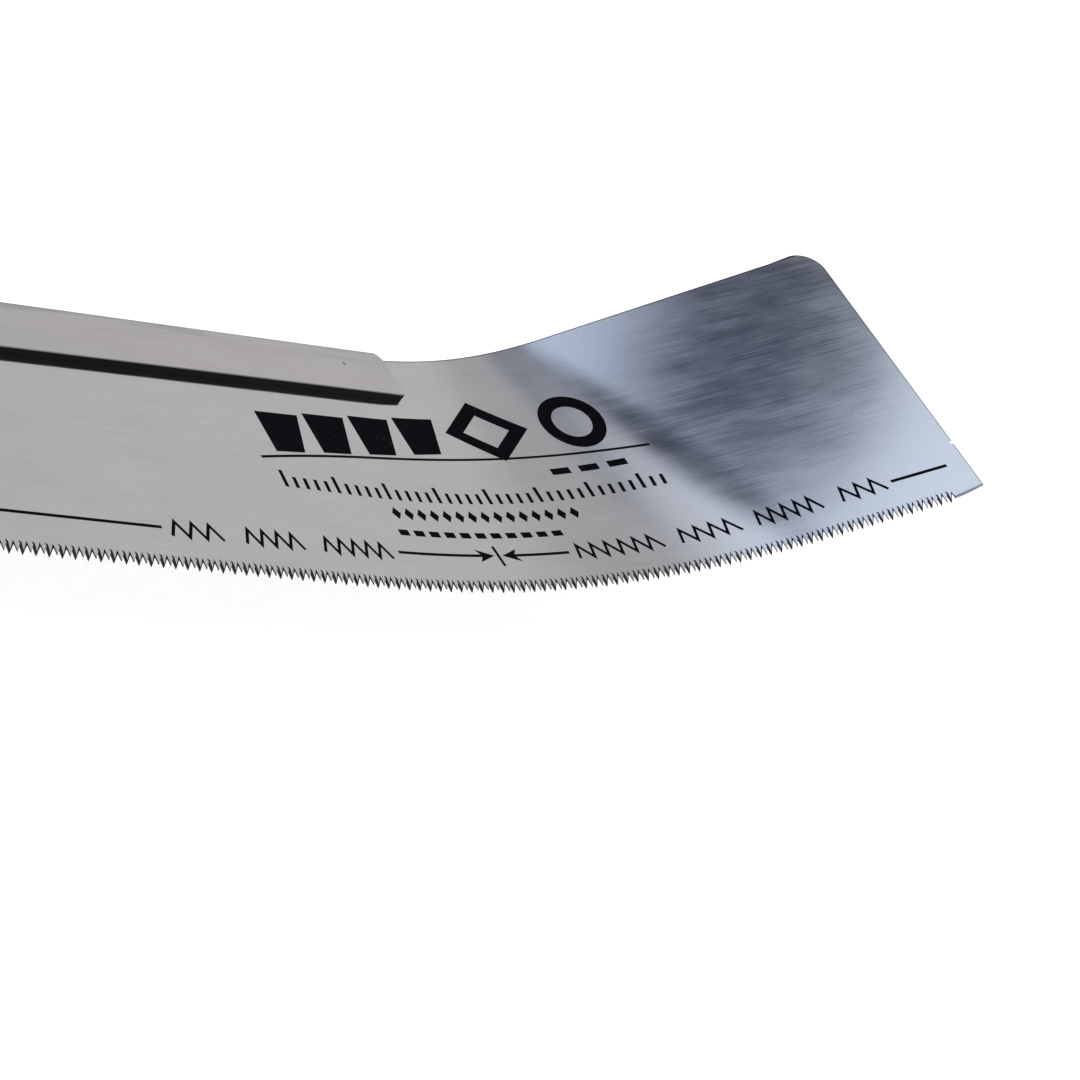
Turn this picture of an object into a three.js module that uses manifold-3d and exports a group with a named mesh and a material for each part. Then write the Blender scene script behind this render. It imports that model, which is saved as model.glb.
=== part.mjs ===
// A Japanese pull saw with a thin steel blade, a folded steel spine and a rattan-wrapped wooden handle.
// The saw lies flat. +X runs along the blade to its tip, +Y from the teeth to the spine, +Z up.
// While it is drawn, x = 0 is where set teeth change to flush-cutting teeth, y = 0 is the line of
// the tooth tips and z = 0 is the middle of the blade's thickness. The last lines move the saw so
// that its origin is the centre of its footprint. Lengths are in millimetres, angles in radians.

import * as THREE from "three";
import { mergeVertices } from "three/addons/utils/BufferGeometryUtils.js";
import Module from "manifold-3d";

const wasm = await Module();
wasm.setup();

const { degToRad } = THREE.MathUtils;

// ---- driving dimensions ----
const GAP = 0.3; // clearance between pieces that touch

const BLADE_THICKNESS = 0.35;
const TOOTH_PITCH = 1.0;
const TOOTH_DEPTH = 2.2;
const HEEL_X = -144; // first tooth, at the handle end
const TOE_X = 89; // last tooth, near the tip
const TIP_X = 96; // lower corner of the tip
const TIP_LEAN = 0.038; // how far the end edge leans forward per millimetre of height
const TIP_CORNER_RADIUS = 4.5;
const TOOTHLESS_Y = 1.3; // height of the plain edge between the last tooth and the tip
const BLADE_TOP = { y0: 48.8, slope: 0.089 }; // free top edge: y0 at x = 0, and its rise

// The free end of the blade is flexed onto a cone. Its straight lines all pass through the apex.
const CONE = {
  apexX: 24.1,
  apexY: 84.7,
  start: degToRad(-30.4), // first bent line, measured from straight down, towards +X
  span: degToRad(56.6), // angle in the flat sheet over which the sheet bends
  turn: degToRad(27.1), // how much the sheet turns over that span, at unit distance
};

const SPINE_TOP = { y0: 49.6, slope: 0.049 };
const SPINE_FRONT_X = 4.2;
const SPINE_REAR_X = -158;
const SPINE_HEIGHT = 9.5;
const SPINE_THICKNESS = 2.8;
const SPINE_LEAF = 0.92;
const SPINE_EDGE_RADIUS = 0.9;

const TANG = { rearX: -221, frontX: -172, lowY: 18, highY: 34 };
const SLOT_WIDTH = 5.0;
const HANDLE_AXIS_Y = (TANG.lowY + TANG.highY) / 2;
const HANDLE_FRONT_X = -175;
const HANDLE_REAR_X = -482;
// The handle is a flat-sided oval of even thickness that grows taller towards its rear end.
const HANDLE_HALF_THICKNESS = 12;
const HANDLE_STATIONS = [
  { x: HANDLE_FRONT_X, halfY: 13.9 },
  { x: -205, halfY: 14.3 },
  { x: -290, halfY: 14.8 },
  { x: -400, halfY: 16.0 },
  { x: HANDLE_REAR_X, halfY: 17.0 },
];
const OVAL_POWER = 2.5; // 2 is an ellipse, more is squarer
const OVAL_FLAT = 0.97; // the oval is planed flat beyond this share of its half thickness

const HOLDER = { rearX: -240, sheet: 0.8 };
const STOP_PIN_RADIUS = 1.5;
const RIVET_X = [-228.5, -235.5];
const RIVET_RADIUS = 1.25;

const SCREW_X = -193;
const SCREW_RADIUS = 2.0;
const KNOB_RADIUS = 7.0;
const KNOB_HEIGHT = 6.0;
const SEAT_Z = 8.4; // floor of the round seat sunk in the upper half of the handle
const SEAT_RADIUS = 8.6;
const NUT_ACROSS_FLATS = 7.0;
const NUT_HEIGHT = 3.2;
const NUT_TOP_Z = -6.4;

const FERRULE = { rearX: -184, wall: 0.8 };
const WRAP = { frontX: -222, rearX: -452, wall: 1.7 };
const BAND_WIDTH = 5;
const BAND_WALL = 2.2; // proud of the winding, so the saw rests on its two bands
const TACK_RADIUS = 0.7;
const BUTT_CAP_LENGTH = 5;

const OVAL_SIDES = 32;
const ROUND_SIDES = 24;

// ---- materials ----
const steel = (color, roughness) => new THREE.MeshStandardMaterial({ color, roughness, metalness: 1 });
const MATERIALS = {
  blade: () => steel(0xb4b6bc, 0.3),
  spine: () => steel(0xaaa8a5, 0.35),
  sheet: () => steel(0x9a9a98, 0.4),
  fastener: () => steel(0x8f8f8c, 0.35),
  brass: () => steel(0xb08d4c, 0.35),
  wood: () => new THREE.MeshStandardMaterial({ color: 0xcaa777, roughness: 0.6, metalness: 0 }),
  rattan: () => new THREE.MeshStandardMaterial({ color: 0xd2b176, roughness: 0.55, metalness: 0 }),
  plastic: () => new THREE.MeshStandardMaterial({ color: 0x26262a, roughness: 0.5, metalness: 0 }),
};

// ---- solids ----

/** A closed three.js geometry as a solid that can be cut and joined. */
function solid(geometry) {
  const bare = geometry.clone();
  bare.deleteAttribute("normal");
  bare.deleteAttribute("uv");
  const merged = mergeVertices(bare, 1e-4);
  return new wasm.Manifold(
    new wasm.Mesh({
      numProp: 3,
      vertProperties: new Float32Array(merged.attributes.position.array),
      triVerts: new Uint32Array(merged.index.array),
    }),
  );
}

/** A solid's faces as a three.js geometry. */
function surface(body) {
  const mesh = body.getMesh();
  const geometry = new THREE.BufferGeometry();
  geometry.setAttribute("position", new THREE.BufferAttribute(mesh.vertProperties, 3));
  geometry.setIndex(new THREE.BufferAttribute(mesh.triVerts, 1));
  geometry.computeVertexNormals();
  return geometry;
}

/** A geometry with others cut out of it. */
function cut(geometry, ...tools) {
  const rest = tools.reduce((body, tool) => body.subtract(solid(tool)), solid(geometry));
  return surface(rest);
}

/** Geometries joined into one solid. */
function join(first, ...others) {
  return surface(others.reduce((body, other) => body.add(solid(other)), solid(first)));
}

/** A box between two corners. */
function box([x0, y0, z0], [x1, y1, z1]) {
  const geometry = new THREE.BoxGeometry(x1 - x0, y1 - y0, z1 - z0);
  return geometry.translate((x0 + x1) / 2, (y0 + y1) / 2, (z0 + z1) / 2);
}

/** An upright round bar at (x, y) from zLow to zHigh. */
function upright(x, y, radius, zLow, zHigh, sides = ROUND_SIDES) {
  const geometry = new THREE.CylinderGeometry(radius, radius, zHigh - zLow, sides);
  return geometry.rotateX(Math.PI / 2).translate(x, y, (zLow + zHigh) / 2);
}

/** An upright turned piece at (x, y). The profile lists [radius, z] from the lower end of the axis. */
function turned(x, y, profile, sides = ROUND_SIDES) {
  const points = profile.map(([radius, z]) => new THREE.Vector2(radius, z));
  return new THREE.LatheGeometry(points, sides).rotateX(Math.PI / 2).translate(x, y, 0);
}

/** A surface through rings that have equally many points, closed by flat ends. */
function loft(rings) {
  const sides = rings[0].length;
  const index = [];
  rings.slice(1).forEach((_, ring) => {
    for (let i = 0; i < sides; i++) {
      const a = ring * sides + i;
      const b = ring * sides + ((i + 1) % sides);
      index.push(a, a + sides, b, b, a + sides, b + sides);
    }
  });
  const last = (rings.length - 1) * sides;
  for (let i = 1; i < sides - 1; i++) {
    index.push(0, i, i + 1);
    index.push(last, last + i + 1, last + i);
  }
  const geometry = new THREE.BufferGeometry();
  geometry.setFromPoints(rings.flat());
  return geometry.setIndex(index);
}

// ---- the handle's oval ----

/** Half height of the bare handle at x. */
function handleHalfY(x) {
  const last = HANDLE_STATIONS.length - 1;
  let i = 0;
  while (i < last - 1 && x < HANDLE_STATIONS[i + 1].x) i++;
  const from = HANDLE_STATIONS[i];
  const to = HANDLE_STATIONS[i + 1];
  const share = THREE.MathUtils.clamp((from.x - x) / (from.x - to.x), 0, 1);
  return THREE.MathUtils.lerp(from.halfY, to.halfY, share);
}

/** A sine or cosine bent towards a squarer oval. */
const squarer = (value) => Math.sign(value) * Math.abs(value) ** (2 / OVAL_POWER);

/** The handle's oval at x, moved outwards by extra. */
function ovalRing(x, extra) {
  return Array.from({ length: OVAL_SIDES }, (_, i) => {
    const angle = (2 * Math.PI * (i + 0.5)) / OVAL_SIDES;
    const y = HANDLE_AXIS_Y + (handleHalfY(x) + extra) * squarer(Math.cos(angle));
    const z = THREE.MathUtils.clamp(squarer(Math.sin(angle)), -OVAL_FLAT, OVAL_FLAT);
    return new THREE.Vector3(x, y, (HANDLE_HALF_THICKNESS + extra) * z);
  });
}

/** A bar with the handle's oval section between two places, moved outwards by extra. */
function ovalBar(fromX, toX, extra) {
  const between = HANDLE_STATIONS.map((station) => station.x).filter((x) => x < fromX && x > toX);
  return loft([fromX, ...between, toX].map((x) => ovalRing(x, extra)));
}

/** A sleeve round the handle, with a clearance to the wood. */
function ovalSleeve(fromX, toX, wall) {
  return cut(ovalBar(fromX, toX, GAP + wall), ovalBar(fromX + 1, toX - 1, GAP));
}

// ---- the blade ----

/** The place in space of the point (x, y) of the flat sheet, lifted by z along its normal. */
function flexed(x, y, z) {
  const dx = x - CONE.apexX;
  const dy = CONE.apexY - y;
  const angle = Math.atan2(dx, dy) - CONE.start;
  if (angle <= 0) return new THREE.Vector3(x, y, z);
  const radius = Math.hypot(dx, dy);
  const bend = CONE.turn / CONE.span;
  const down = new THREE.Vector3(Math.sin(CONE.start), -Math.cos(CONE.start), 0);
  const along = new THREE.Vector3(Math.cos(CONE.start), Math.sin(CONE.start), 0);
  const normal = new THREE.Vector3(0, 0, 1);
  const axis = down.clone().multiplyScalar(bend).add(normal).normalize();
  const turn = Math.hypot(1, bend) * Math.min(angle, CONE.span);
  const straight = Math.max(angle - CONE.span, 0);
  down.applyAxisAngle(axis, turn);
  along.applyAxisAngle(axis, turn);
  normal.applyAxisAngle(axis, turn);
  return new THREE.Vector3(CONE.apexX, CONE.apexY, 0)
    .addScaledVector(down, radius * Math.cos(straight))
    .addScaledVector(along, radius * Math.sin(straight))
    .addScaledVector(normal, z);
}

const edgeY = (edge, x) => edge.y0 + edge.slope * x;

/** Top edge of the flat blade: tang, neck, the stretch inside the spine, and the free stretch. */
function topPoint(x) {
  const hidden = SPINE_THICKNESS / 2 + GAP + 0.2;
  if (x <= TANG.frontX) return TANG.highY;
  if (x < SPINE_REAR_X - 2) {
    const share = (x - TANG.frontX) / (SPINE_REAR_X - 2 - TANG.frontX);
    return THREE.MathUtils.lerp(TANG.highY, edgeY(SPINE_TOP, SPINE_REAR_X) - hidden, share);
  }
  if (x < SPINE_FRONT_X + GAP) return edgeY(SPINE_TOP, x) - hidden;
  return edgeY(BLADE_TOP, x);
}

/** Lower edge of the flat blade between the tang and the first tooth: a quarter round up to the tang. */
function neckLowY(x) {
  if (x <= TANG.frontX) return TANG.lowY;
  const share = (x - TANG.frontX) / (HEEL_X - TANG.frontX);
  const drop = 1 - Math.sqrt(1 - share * share);
  return TANG.lowY - drop * (TANG.lowY - TOOTH_DEPTH);
}

/** Lines across the flat blade, each from a point of its lower edge to a point of its top edge. */
function crossLines() {
  const lines = [];
  const add = (lowX, lowY, topX, topY) => lines.push({ low: [lowX, lowY], top: [topX, topY] });
  for (const x of [TANG.rearX, -200, -185]) add(x, neckLowY(x), x, topPoint(x));
  const neckSteps = 8;
  for (let i = 0; i < neckSteps; i++) {
    const x = THREE.MathUtils.lerp(TANG.frontX, HEEL_X, Math.sin((i / neckSteps) * (Math.PI / 2)));
    add(x, neckLowY(x), x, topPoint(x));
  }
  const flatStep = 9;
  const bentStep = 3;
  for (let x = HEEL_X; x < TOE_X; x += x < -27 ? flatStep : bentStep) {
    if (x <= SPINE_FRONT_X && x + bentStep > SPINE_FRONT_X) {
      const step = SPINE_FRONT_X + GAP;
      add(x, TOOTH_DEPTH, step - 0.05, topPoint(step - 0.05));
      add(x + 1, TOOTH_DEPTH, step, topPoint(step));
      continue;
    }
    add(x, TOOTH_DEPTH, x, topPoint(x));
  }
  const endX = (y) => TIP_X + TIP_LEAN * y;
  const cornerY = edgeY(BLADE_TOP, TIP_X) - TIP_CORNER_RADIUS;
  const cornerX = endX(cornerY) - TIP_CORNER_RADIUS;
  const cornerSteps = 6;
  for (let i = 0; i <= cornerSteps; i++) {
    const share = i / cornerSteps;
    const angle = THREE.MathUtils.lerp(Math.PI / 2 + BLADE_TOP.slope, -TIP_LEAN, share);
    const lowX = THREE.MathUtils.lerp(TOE_X + 1, TIP_X, share);
    const topX = cornerX + TIP_CORNER_RADIUS * Math.cos(angle);
    const topY = cornerY + TIP_CORNER_RADIUS * Math.sin(angle);
    add(lowX, TOOTHLESS_Y, topX, topY);
  }
  return lines;
}

/** Points of the toothed lower edge strictly between two gullets. */
function teethBetween(fromX, toX) {
  const points = [];
  if (fromX < HEEL_X || fromX >= TOE_X) return points;
  for (let x = fromX; x < Math.min(toX, TOE_X); x += TOOTH_PITCH) {
    if (x > fromX) points.push([x, TOOTH_DEPTH]);
    points.push([x + TOOTH_PITCH / 2, 0]);
  }
  return points;
}

/** The flexed blade: panels of the flat sheet, each cut into triangles, put on both faces. */
function bladeGeometry() {
  const lines = crossLines();
  const rows = 6;
  const points = [];
  const panels = [];
  const keyOf = new Map();
  const at = ([x, y]) => {
    const key = `${x.toFixed(4)},${y.toFixed(4)}`;
    if (!keyOf.has(key)) {
      keyOf.set(key, points.length);
      points.push(new THREE.Vector2(x, y));
    }
    return keyOf.get(key);
  };
  const onLine = ({ low, top }, share) => [0, 1].map((i) => THREE.MathUtils.lerp(low[i], top[i], share));
  const lowerEdge = [];
  lines.slice(1).forEach((right, i) => {
    const left = lines[i];
    for (let row = 0; row < rows; row++) {
      const from = row / rows;
      const to = (row + 1) / rows;
      const teeth = row === 0 ? teethBetween(left.low[0], right.low[0]) : [];
      if (row === 0) lowerEdge.push(at(left.low), ...teeth.map(at));
      panels.push([onLine(left, from), ...teeth, onLine(right, from), onLine(right, to), onLine(left, to)]);
    }
  });
  const steps = Array.from({ length: rows + 1 }, (_, row) => row / rows);
  const tipEdge = steps.map((share) => at(onLine(lines.at(-1), share)));
  const topEdge = lines.map((line) => at(line.top)).reverse();
  const tangEdge = steps.map((share) => at(onLine(lines[0], share))).reverse();
  const rim = [...lowerEdge, ...tipEdge, ...topEdge.slice(1), ...tangEdge.slice(1, -1)];
  const upper = [];
  for (const panel of panels) {
    const corners = panel.map(at);
    const flat = corners.map((corner) => points[corner]);
    for (const face of THREE.ShapeUtils.triangulateShape(flat, [])) {
      upper.push(...face.map((corner) => corners[corner]));
    }
  }
  const count = points.length;
  const index = [...upper];
  for (let i = 0; i < upper.length; i += 3) {
    index.push(upper[i] + count, upper[i + 2] + count, upper[i + 1] + count);
  }
  rim.forEach((a, i) => {
    const b = rim[(i + 1) % rim.length];
    index.push(a, a + count, b, b, a + count, b + count);
  });
  const half = BLADE_THICKNESS / 2;
  const place = (z) => points.map(({ x, y }) => flexed(x, y, z));
  const geometry = new THREE.BufferGeometry();
  geometry.setFromPoints([...place(half), ...place(-half)]);
  return geometry.setIndex(index);
}

/** The slot in the tang, open to the rear, that passes round the clamping screw. */
function tangSlot() {
  const half = SLOT_WIDTH / 2;
  const shape = new THREE.Shape();
  shape.moveTo(TANG.rearX - 2, HANDLE_AXIS_Y - half);
  shape.lineTo(SCREW_X + 0.5, HANDLE_AXIS_Y - half);
  shape.absarc(SCREW_X + 0.5, HANDLE_AXIS_Y, half, -Math.PI / 2, Math.PI / 2, false);
  shape.lineTo(TANG.rearX - 2, HANDLE_AXIS_Y + half);
  const geometry = new THREE.ExtrudeGeometry(shape, { depth: 4, bevelEnabled: false, curveSegments: 8 });
  return geometry.translate(0, 0, -2);
}

function sawBlade() {
  return cut(bladeGeometry(), tangSlot());
}

/** A steel strip folded over the top edge of the blade, with its front upper corner cut off. */
function spine() {
  const half = SPINE_THICKNESS / 2;
  const innerHalf = half - SPINE_LEAF;
  const shape = new THREE.Shape();
  shape.moveTo(half, -SPINE_HEIGHT);
  shape.lineTo(half, -SPINE_EDGE_RADIUS);
  shape.absarc(half - SPINE_EDGE_RADIUS, -SPINE_EDGE_RADIUS, SPINE_EDGE_RADIUS, 0, Math.PI / 2, false);
  shape.absarc(SPINE_EDGE_RADIUS - half, -SPINE_EDGE_RADIUS, SPINE_EDGE_RADIUS, Math.PI / 2, Math.PI, false);
  shape.lineTo(-half, -SPINE_HEIGHT);
  shape.lineTo(-innerHalf, -SPINE_HEIGHT);
  shape.lineTo(-innerHalf, -SPINE_THICKNESS / 2);
  shape.lineTo(innerHalf, -SPINE_THICKNESS / 2);
  shape.lineTo(innerHalf, -SPINE_HEIGHT);
  const length = SPINE_FRONT_X - SPINE_REAR_X;
  const bar = new THREE.ExtrudeGeometry(shape, { depth: length, bevelEnabled: false, curveSegments: 5 });
  bar.rotateY(Math.PI / 2).applyMatrix4(spinePlace());
  const corner = box([-3, -3, -half - 1], [3, 3, half + 1]);
  corner.rotateZ(degToRad(-35)).translate(SPINE_FRONT_X + 0.4, edgeY(SPINE_TOP, SPINE_FRONT_X) + 2.2, 0);
  return cut(bar, corner);
}

/** Takes the folded strip from its own axes to its place along the sloping top line. */
function spinePlace() {
  const slope = Math.atan(SPINE_TOP.slope);
  const place = new THREE.Matrix4().makeRotationZ(slope);
  place.setPosition(SPINE_REAR_X, edgeY(SPINE_TOP, SPINE_REAR_X), 0);
  return place;
}

// ---- the handle and what is in it ----

/** One glued half of the handle: side is 1 for the upper half and -1 for the lower one. */
function handleHalf(side) {
  const bar = ovalBar(HANDLE_FRONT_X, HANDLE_REAR_X, 0);
  const past = 20;
  const reach = [HANDLE_FRONT_X + past, HANDLE_AXIS_Y + past];
  const start = [HANDLE_REAR_X - past, HANDLE_AXIS_Y - past];
  const glueLine = GAP / 2;
  const other = box([...start, side > 0 ? -past : -glueLine], [...reach, side > 0 ? glueLine : past]);
  const depth = BLADE_THICKNESS / 2 + GAP + HOLDER.sheet + GAP;
  const channelLow = TANG.lowY - 1;
  const channelHigh = TANG.highY + GAP + HOLDER.sheet + GAP;
  const channel = box([HOLDER.rearX - GAP, channelLow, -depth], [HANDLE_FRONT_X + 1, channelHigh, depth]);
  const holes = [
    upright(SCREW_X, HANDLE_AXIS_Y, SCREW_RADIUS + 0.4, -past, past),
    ...RIVET_X.map((x) => upright(x, HANDLE_AXIS_Y, RIVET_RADIUS + GAP, -6.2, 6.2)),
    upright(TANG.rearX - STOP_PIN_RADIUS - GAP, HANDLE_AXIS_Y, STOP_PIN_RADIUS + GAP, -4.2, 4.2),
    buttScrew(GAP),
  ];
  if (side > 0) {
    holes.push(upright(SCREW_X, HANDLE_AXIS_Y, SEAT_RADIUS, SEAT_Z, past, 32));
    for (const x of tackPlaces()) holes.push(upright(x, HANDLE_AXIS_Y, TACK_RADIUS + GAP, 4, past, 12));
    holes.push(upright(FERRULE_PIN_X, HANDLE_AXIS_Y, TACK_RADIUS + GAP, 5, past, 12));
  } else {
    holes.push(hexagon(NUT_ACROSS_FLATS / 2 + GAP, -past, NUT_TOP_Z + GAP));
  }
  return cut(bar, other, channel, ...holes);
}

/** A hexagonal bar on the screw's axis. */
function hexagon(apothem, zLow, zHigh) {
  return upright(SCREW_X, HANDLE_AXIS_Y, apothem / Math.cos(Math.PI / 6), zLow, zHigh, 6);
}

/** A folded steel channel, open below, that the tang slides into. */
function bladeHolder() {
  const inner = BLADE_THICKNESS / 2 + GAP;
  const outer = inner + HOLDER.sheet;
  const low = TANG.lowY - 1 + GAP;
  const fold = TANG.highY + GAP;
  const frontX = HANDLE_FRONT_X - 0.5;
  const block = box([HOLDER.rearX, low, -outer], [frontX, fold + HOLDER.sheet, outer]);
  const hollow = box([HOLDER.rearX - 1, low - 1, -inner], [frontX + 1, fold, inner]);
  return cut(
    block,
    hollow,
    upright(SCREW_X, HANDLE_AXIS_Y, SCREW_RADIUS + 0.4, -3, 3),
    upright(TANG.rearX - STOP_PIN_RADIUS - GAP, HANDLE_AXIS_Y, STOP_PIN_RADIUS + GAP, -3, 3),
    ...RIVET_X.map((x) => upright(x, HANDLE_AXIS_Y, RIVET_RADIUS + GAP, -3, 3)),
  );
}

/** A rivet that ties the channel to both halves of the handle. */
const holderRivet = (x) => upright(x, HANDLE_AXIS_Y, RIVET_RADIUS, -5.9, 5.9, 16);

/** The pin that the end of the tang stops against. */
const stopPin = () => upright(TANG.rearX - STOP_PIN_RADIUS - GAP, HANDLE_AXIS_Y, STOP_PIN_RADIUS, -3.9, 3.9, 16);

// ---- the clamping screw ----
const PLATE_Z = [SEAT_Z + GAP, SEAT_Z + GAP + 0.8];
const WASHER_Z = [PLATE_Z[1] + GAP, PLATE_Z[1] + GAP + 0.8];
const KNOB_Z = WASHER_Z[1] + GAP;

/** A flat ring on the screw's axis. */
function ring(outerRadius, [zLow, zHigh], innerRadius) {
  const disc = upright(SCREW_X, HANDLE_AXIS_Y, outerRadius, zLow, zHigh, 32);
  return cut(disc, upright(SCREW_X, HANDLE_AXIS_Y, innerRadius, zLow - 1, zHigh + 1));
}

/** A thumbscrew: a fluted knob with a chamfered top and a plain shank down to the nut. */
function lockScrew() {
  const flutes = 18;
  const outline = new THREE.Shape();
  for (let i = 0; i < 2 * flutes; i++) {
    const angle = (Math.PI * i) / flutes;
    const radius = i % 2 ? KNOB_RADIUS - 0.45 : KNOB_RADIUS;
    const [x, y] = [radius * Math.cos(angle), radius * Math.sin(angle)];
    if (i === 0) outline.moveTo(x, y);
    else outline.lineTo(x, y);
  }
  const edge = 0.6;
  const knob = new THREE.ExtrudeGeometry(outline, { depth: KNOB_HEIGHT - edge, bevelEnabled: false });
  knob.translate(SCREW_X, HANDLE_AXIS_Y, KNOB_Z + edge);
  const collar = upright(SCREW_X, HANDLE_AXIS_Y, KNOB_RADIUS - 1.2, KNOB_Z, KNOB_Z + edge + 0.2);
  const shank = upright(SCREW_X, HANDLE_AXIS_Y, SCREW_RADIUS, NUT_TOP_Z - NUT_HEIGHT - 0.4, KNOB_Z + 1);
  const slot = box(
    [SCREW_X - KNOB_RADIUS - 1, HANDLE_AXIS_Y - 0.7, KNOB_Z + KNOB_HEIGHT - 1.4],
    [SCREW_X + KNOB_RADIUS + 1, HANDLE_AXIS_Y + 0.7, KNOB_Z + KNOB_HEIGHT + 1],
  );
  return cut(join(knob, collar, shank), slot);
}

/** The hexagonal nut sunk in the lower half, open on the screw's axis. */
function lockNut() {
  const body = hexagon(NUT_ACROSS_FLATS / 2, NUT_TOP_Z - NUT_HEIGHT, NUT_TOP_Z);
  return cut(body, upright(SCREW_X, HANDLE_AXIS_Y, SCREW_RADIUS + GAP, -20, 0));
}

// ---- sleeves and trim round the handle ----
const FERRULE_PIN_X = (HANDLE_FRONT_X + FERRULE.rearX) / 2;
const bandPlaces = () => [WRAP.frontX + GAP + BAND_WIDTH, WRAP.rearX - GAP];
const tackPlaces = () => bandPlaces().map((x) => x - BAND_WIDTH / 2);

/** A small round-headed nail at x, driven down through a sleeve with the given wall. */
function tack(x, wall, depth) {
  const top = OVAL_FLAT * HANDLE_HALF_THICKNESS + GAP + wall + GAP;
  const head = 0.9;
  const profile = [[0, top - depth], [TACK_RADIUS, top - depth + 0.8], [TACK_RADIUS, top]];
  profile.push([1.7, top], [1.5, top + 0.4 * head], [0.9, top + 0.85 * head], [0, top + head]);
  return turned(x, HANDLE_AXIS_Y, profile, 12);
}

/** A sleeve with the hole for its nail. */
function nailedSleeve(fromX, toX, wall, nailX) {
  const hole = upright(nailX, HANDLE_AXIS_Y, TACK_RADIUS + GAP, 0, 30, 12);
  return cut(ovalSleeve(fromX, toX, wall), hole);
}

function wrapBand(place) {
  const from = bandPlaces()[place];
  return nailedSleeve(from, from - BAND_WIDTH, BAND_WALL, tackPlaces()[place]);
}

/** A slightly domed cap on the rear end, with a countersunk hole for its screw. */
function buttCap() {
  const from = HANDLE_REAR_X - GAP;
  const rings = [[0, 0.4], [0.55, 0.4], [0.85, -0.5], [1, -2.2]].map(([share, extra]) => {
    const flat = ovalRing(HANDLE_REAR_X, extra);
    return flat.map((point) => point.setX(from - share * BUTT_CAP_LENGTH));
  });
  const cone = new THREE.CylinderGeometry(1.6 + GAP, 3.4 + GAP, 2, ROUND_SIDES);
  cone.rotateZ(-Math.PI / 2).translate(from - BUTT_CAP_LENGTH + 1, HANDLE_AXIS_Y, 0);
  return cut(loft(rings), cone, buttScrew(GAP));
}

/** The wood screw on the handle's axis that holds the cap, made larger all over by extra. */
function buttScrew(extra = 0) {
  const headX = HANDLE_REAR_X - GAP - BUTT_CAP_LENGTH;
  const length = 22;
  const profile = [[0, 0], [3.4 + extra, 0], [1.6 + extra, 2], [1.6 + extra, length - 3], [0, length + extra]];
  const points = profile.map(([radius, along]) => new THREE.Vector2(radius, along));
  const geometry = new THREE.LatheGeometry(points, 16);
  return geometry.rotateZ(-Math.PI / 2).translate(headX, HANDLE_AXIS_Y, 0);
}

// ---- the saw ----
const saw = new THREE.Group();

function addPiece(name, geometry, material) {
  const mesh = new THREE.Mesh(geometry, material);
  mesh.name = name;
  saw.add(mesh);
}

addPiece("saw_blade", sawBlade(), MATERIALS.blade());
addPiece("spine", spine(), MATERIALS.spine());
addPiece("handle_half_upper", handleHalf(1), MATERIALS.wood());
addPiece("handle_half_lower", handleHalf(-1), MATERIALS.wood());
addPiece("blade_holder", bladeHolder(), MATERIALS.sheet());
addPiece("holder_rivet_front", holderRivet(RIVET_X[0]), MATERIALS.fastener());
addPiece("holder_rivet_rear", holderRivet(RIVET_X[1]), MATERIALS.fastener());
addPiece("stop_pin", stopPin(), MATERIALS.fastener());
addPiece("clamp_plate", ring(SEAT_RADIUS - GAP, PLATE_Z, SCREW_RADIUS + 0.4), MATERIALS.sheet());
addPiece("lock_washer", ring(KNOB_RADIUS - 0.4, WASHER_Z, SCREW_RADIUS + GAP), MATERIALS.brass());
addPiece("lock_screw", lockScrew(), MATERIALS.brass());
addPiece("lock_nut", lockNut(), MATERIALS.fastener());
addPiece("ferrule", nailedSleeve(HANDLE_FRONT_X + 0.6, FERRULE.rearX, FERRULE.wall, FERRULE_PIN_X), MATERIALS.sheet());
addPiece("ferrule_pin", tack(FERRULE_PIN_X, FERRULE.wall, 6), MATERIALS.fastener());
addPiece("rattan_wrap", ovalSleeve(WRAP.frontX, WRAP.rearX, WRAP.wall), MATERIALS.rattan());
["front", "rear"].forEach((end, place) => {
  addPiece(`wrap_band_${end}`, wrapBand(place), MATERIALS.plastic());
  addPiece(`wrap_tack_${end}`, tack(tackPlaces()[place], BAND_WALL, 7), MATERIALS.brass());
});
addPiece("butt_cap", buttCap(), MATERIALS.plastic());
addPiece("butt_screw", buttScrew(), MATERIALS.fastener());

const footprint = new THREE.Box3().setFromObject(saw);
const centre = footprint.getCenter(new THREE.Vector3());
saw.position.set(-centre.x, -centre.y, -footprint.min.z);

export default saw;
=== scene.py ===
import math

import bmesh
import bpy
from mathutils import Matrix, Quaternion, Vector


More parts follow.
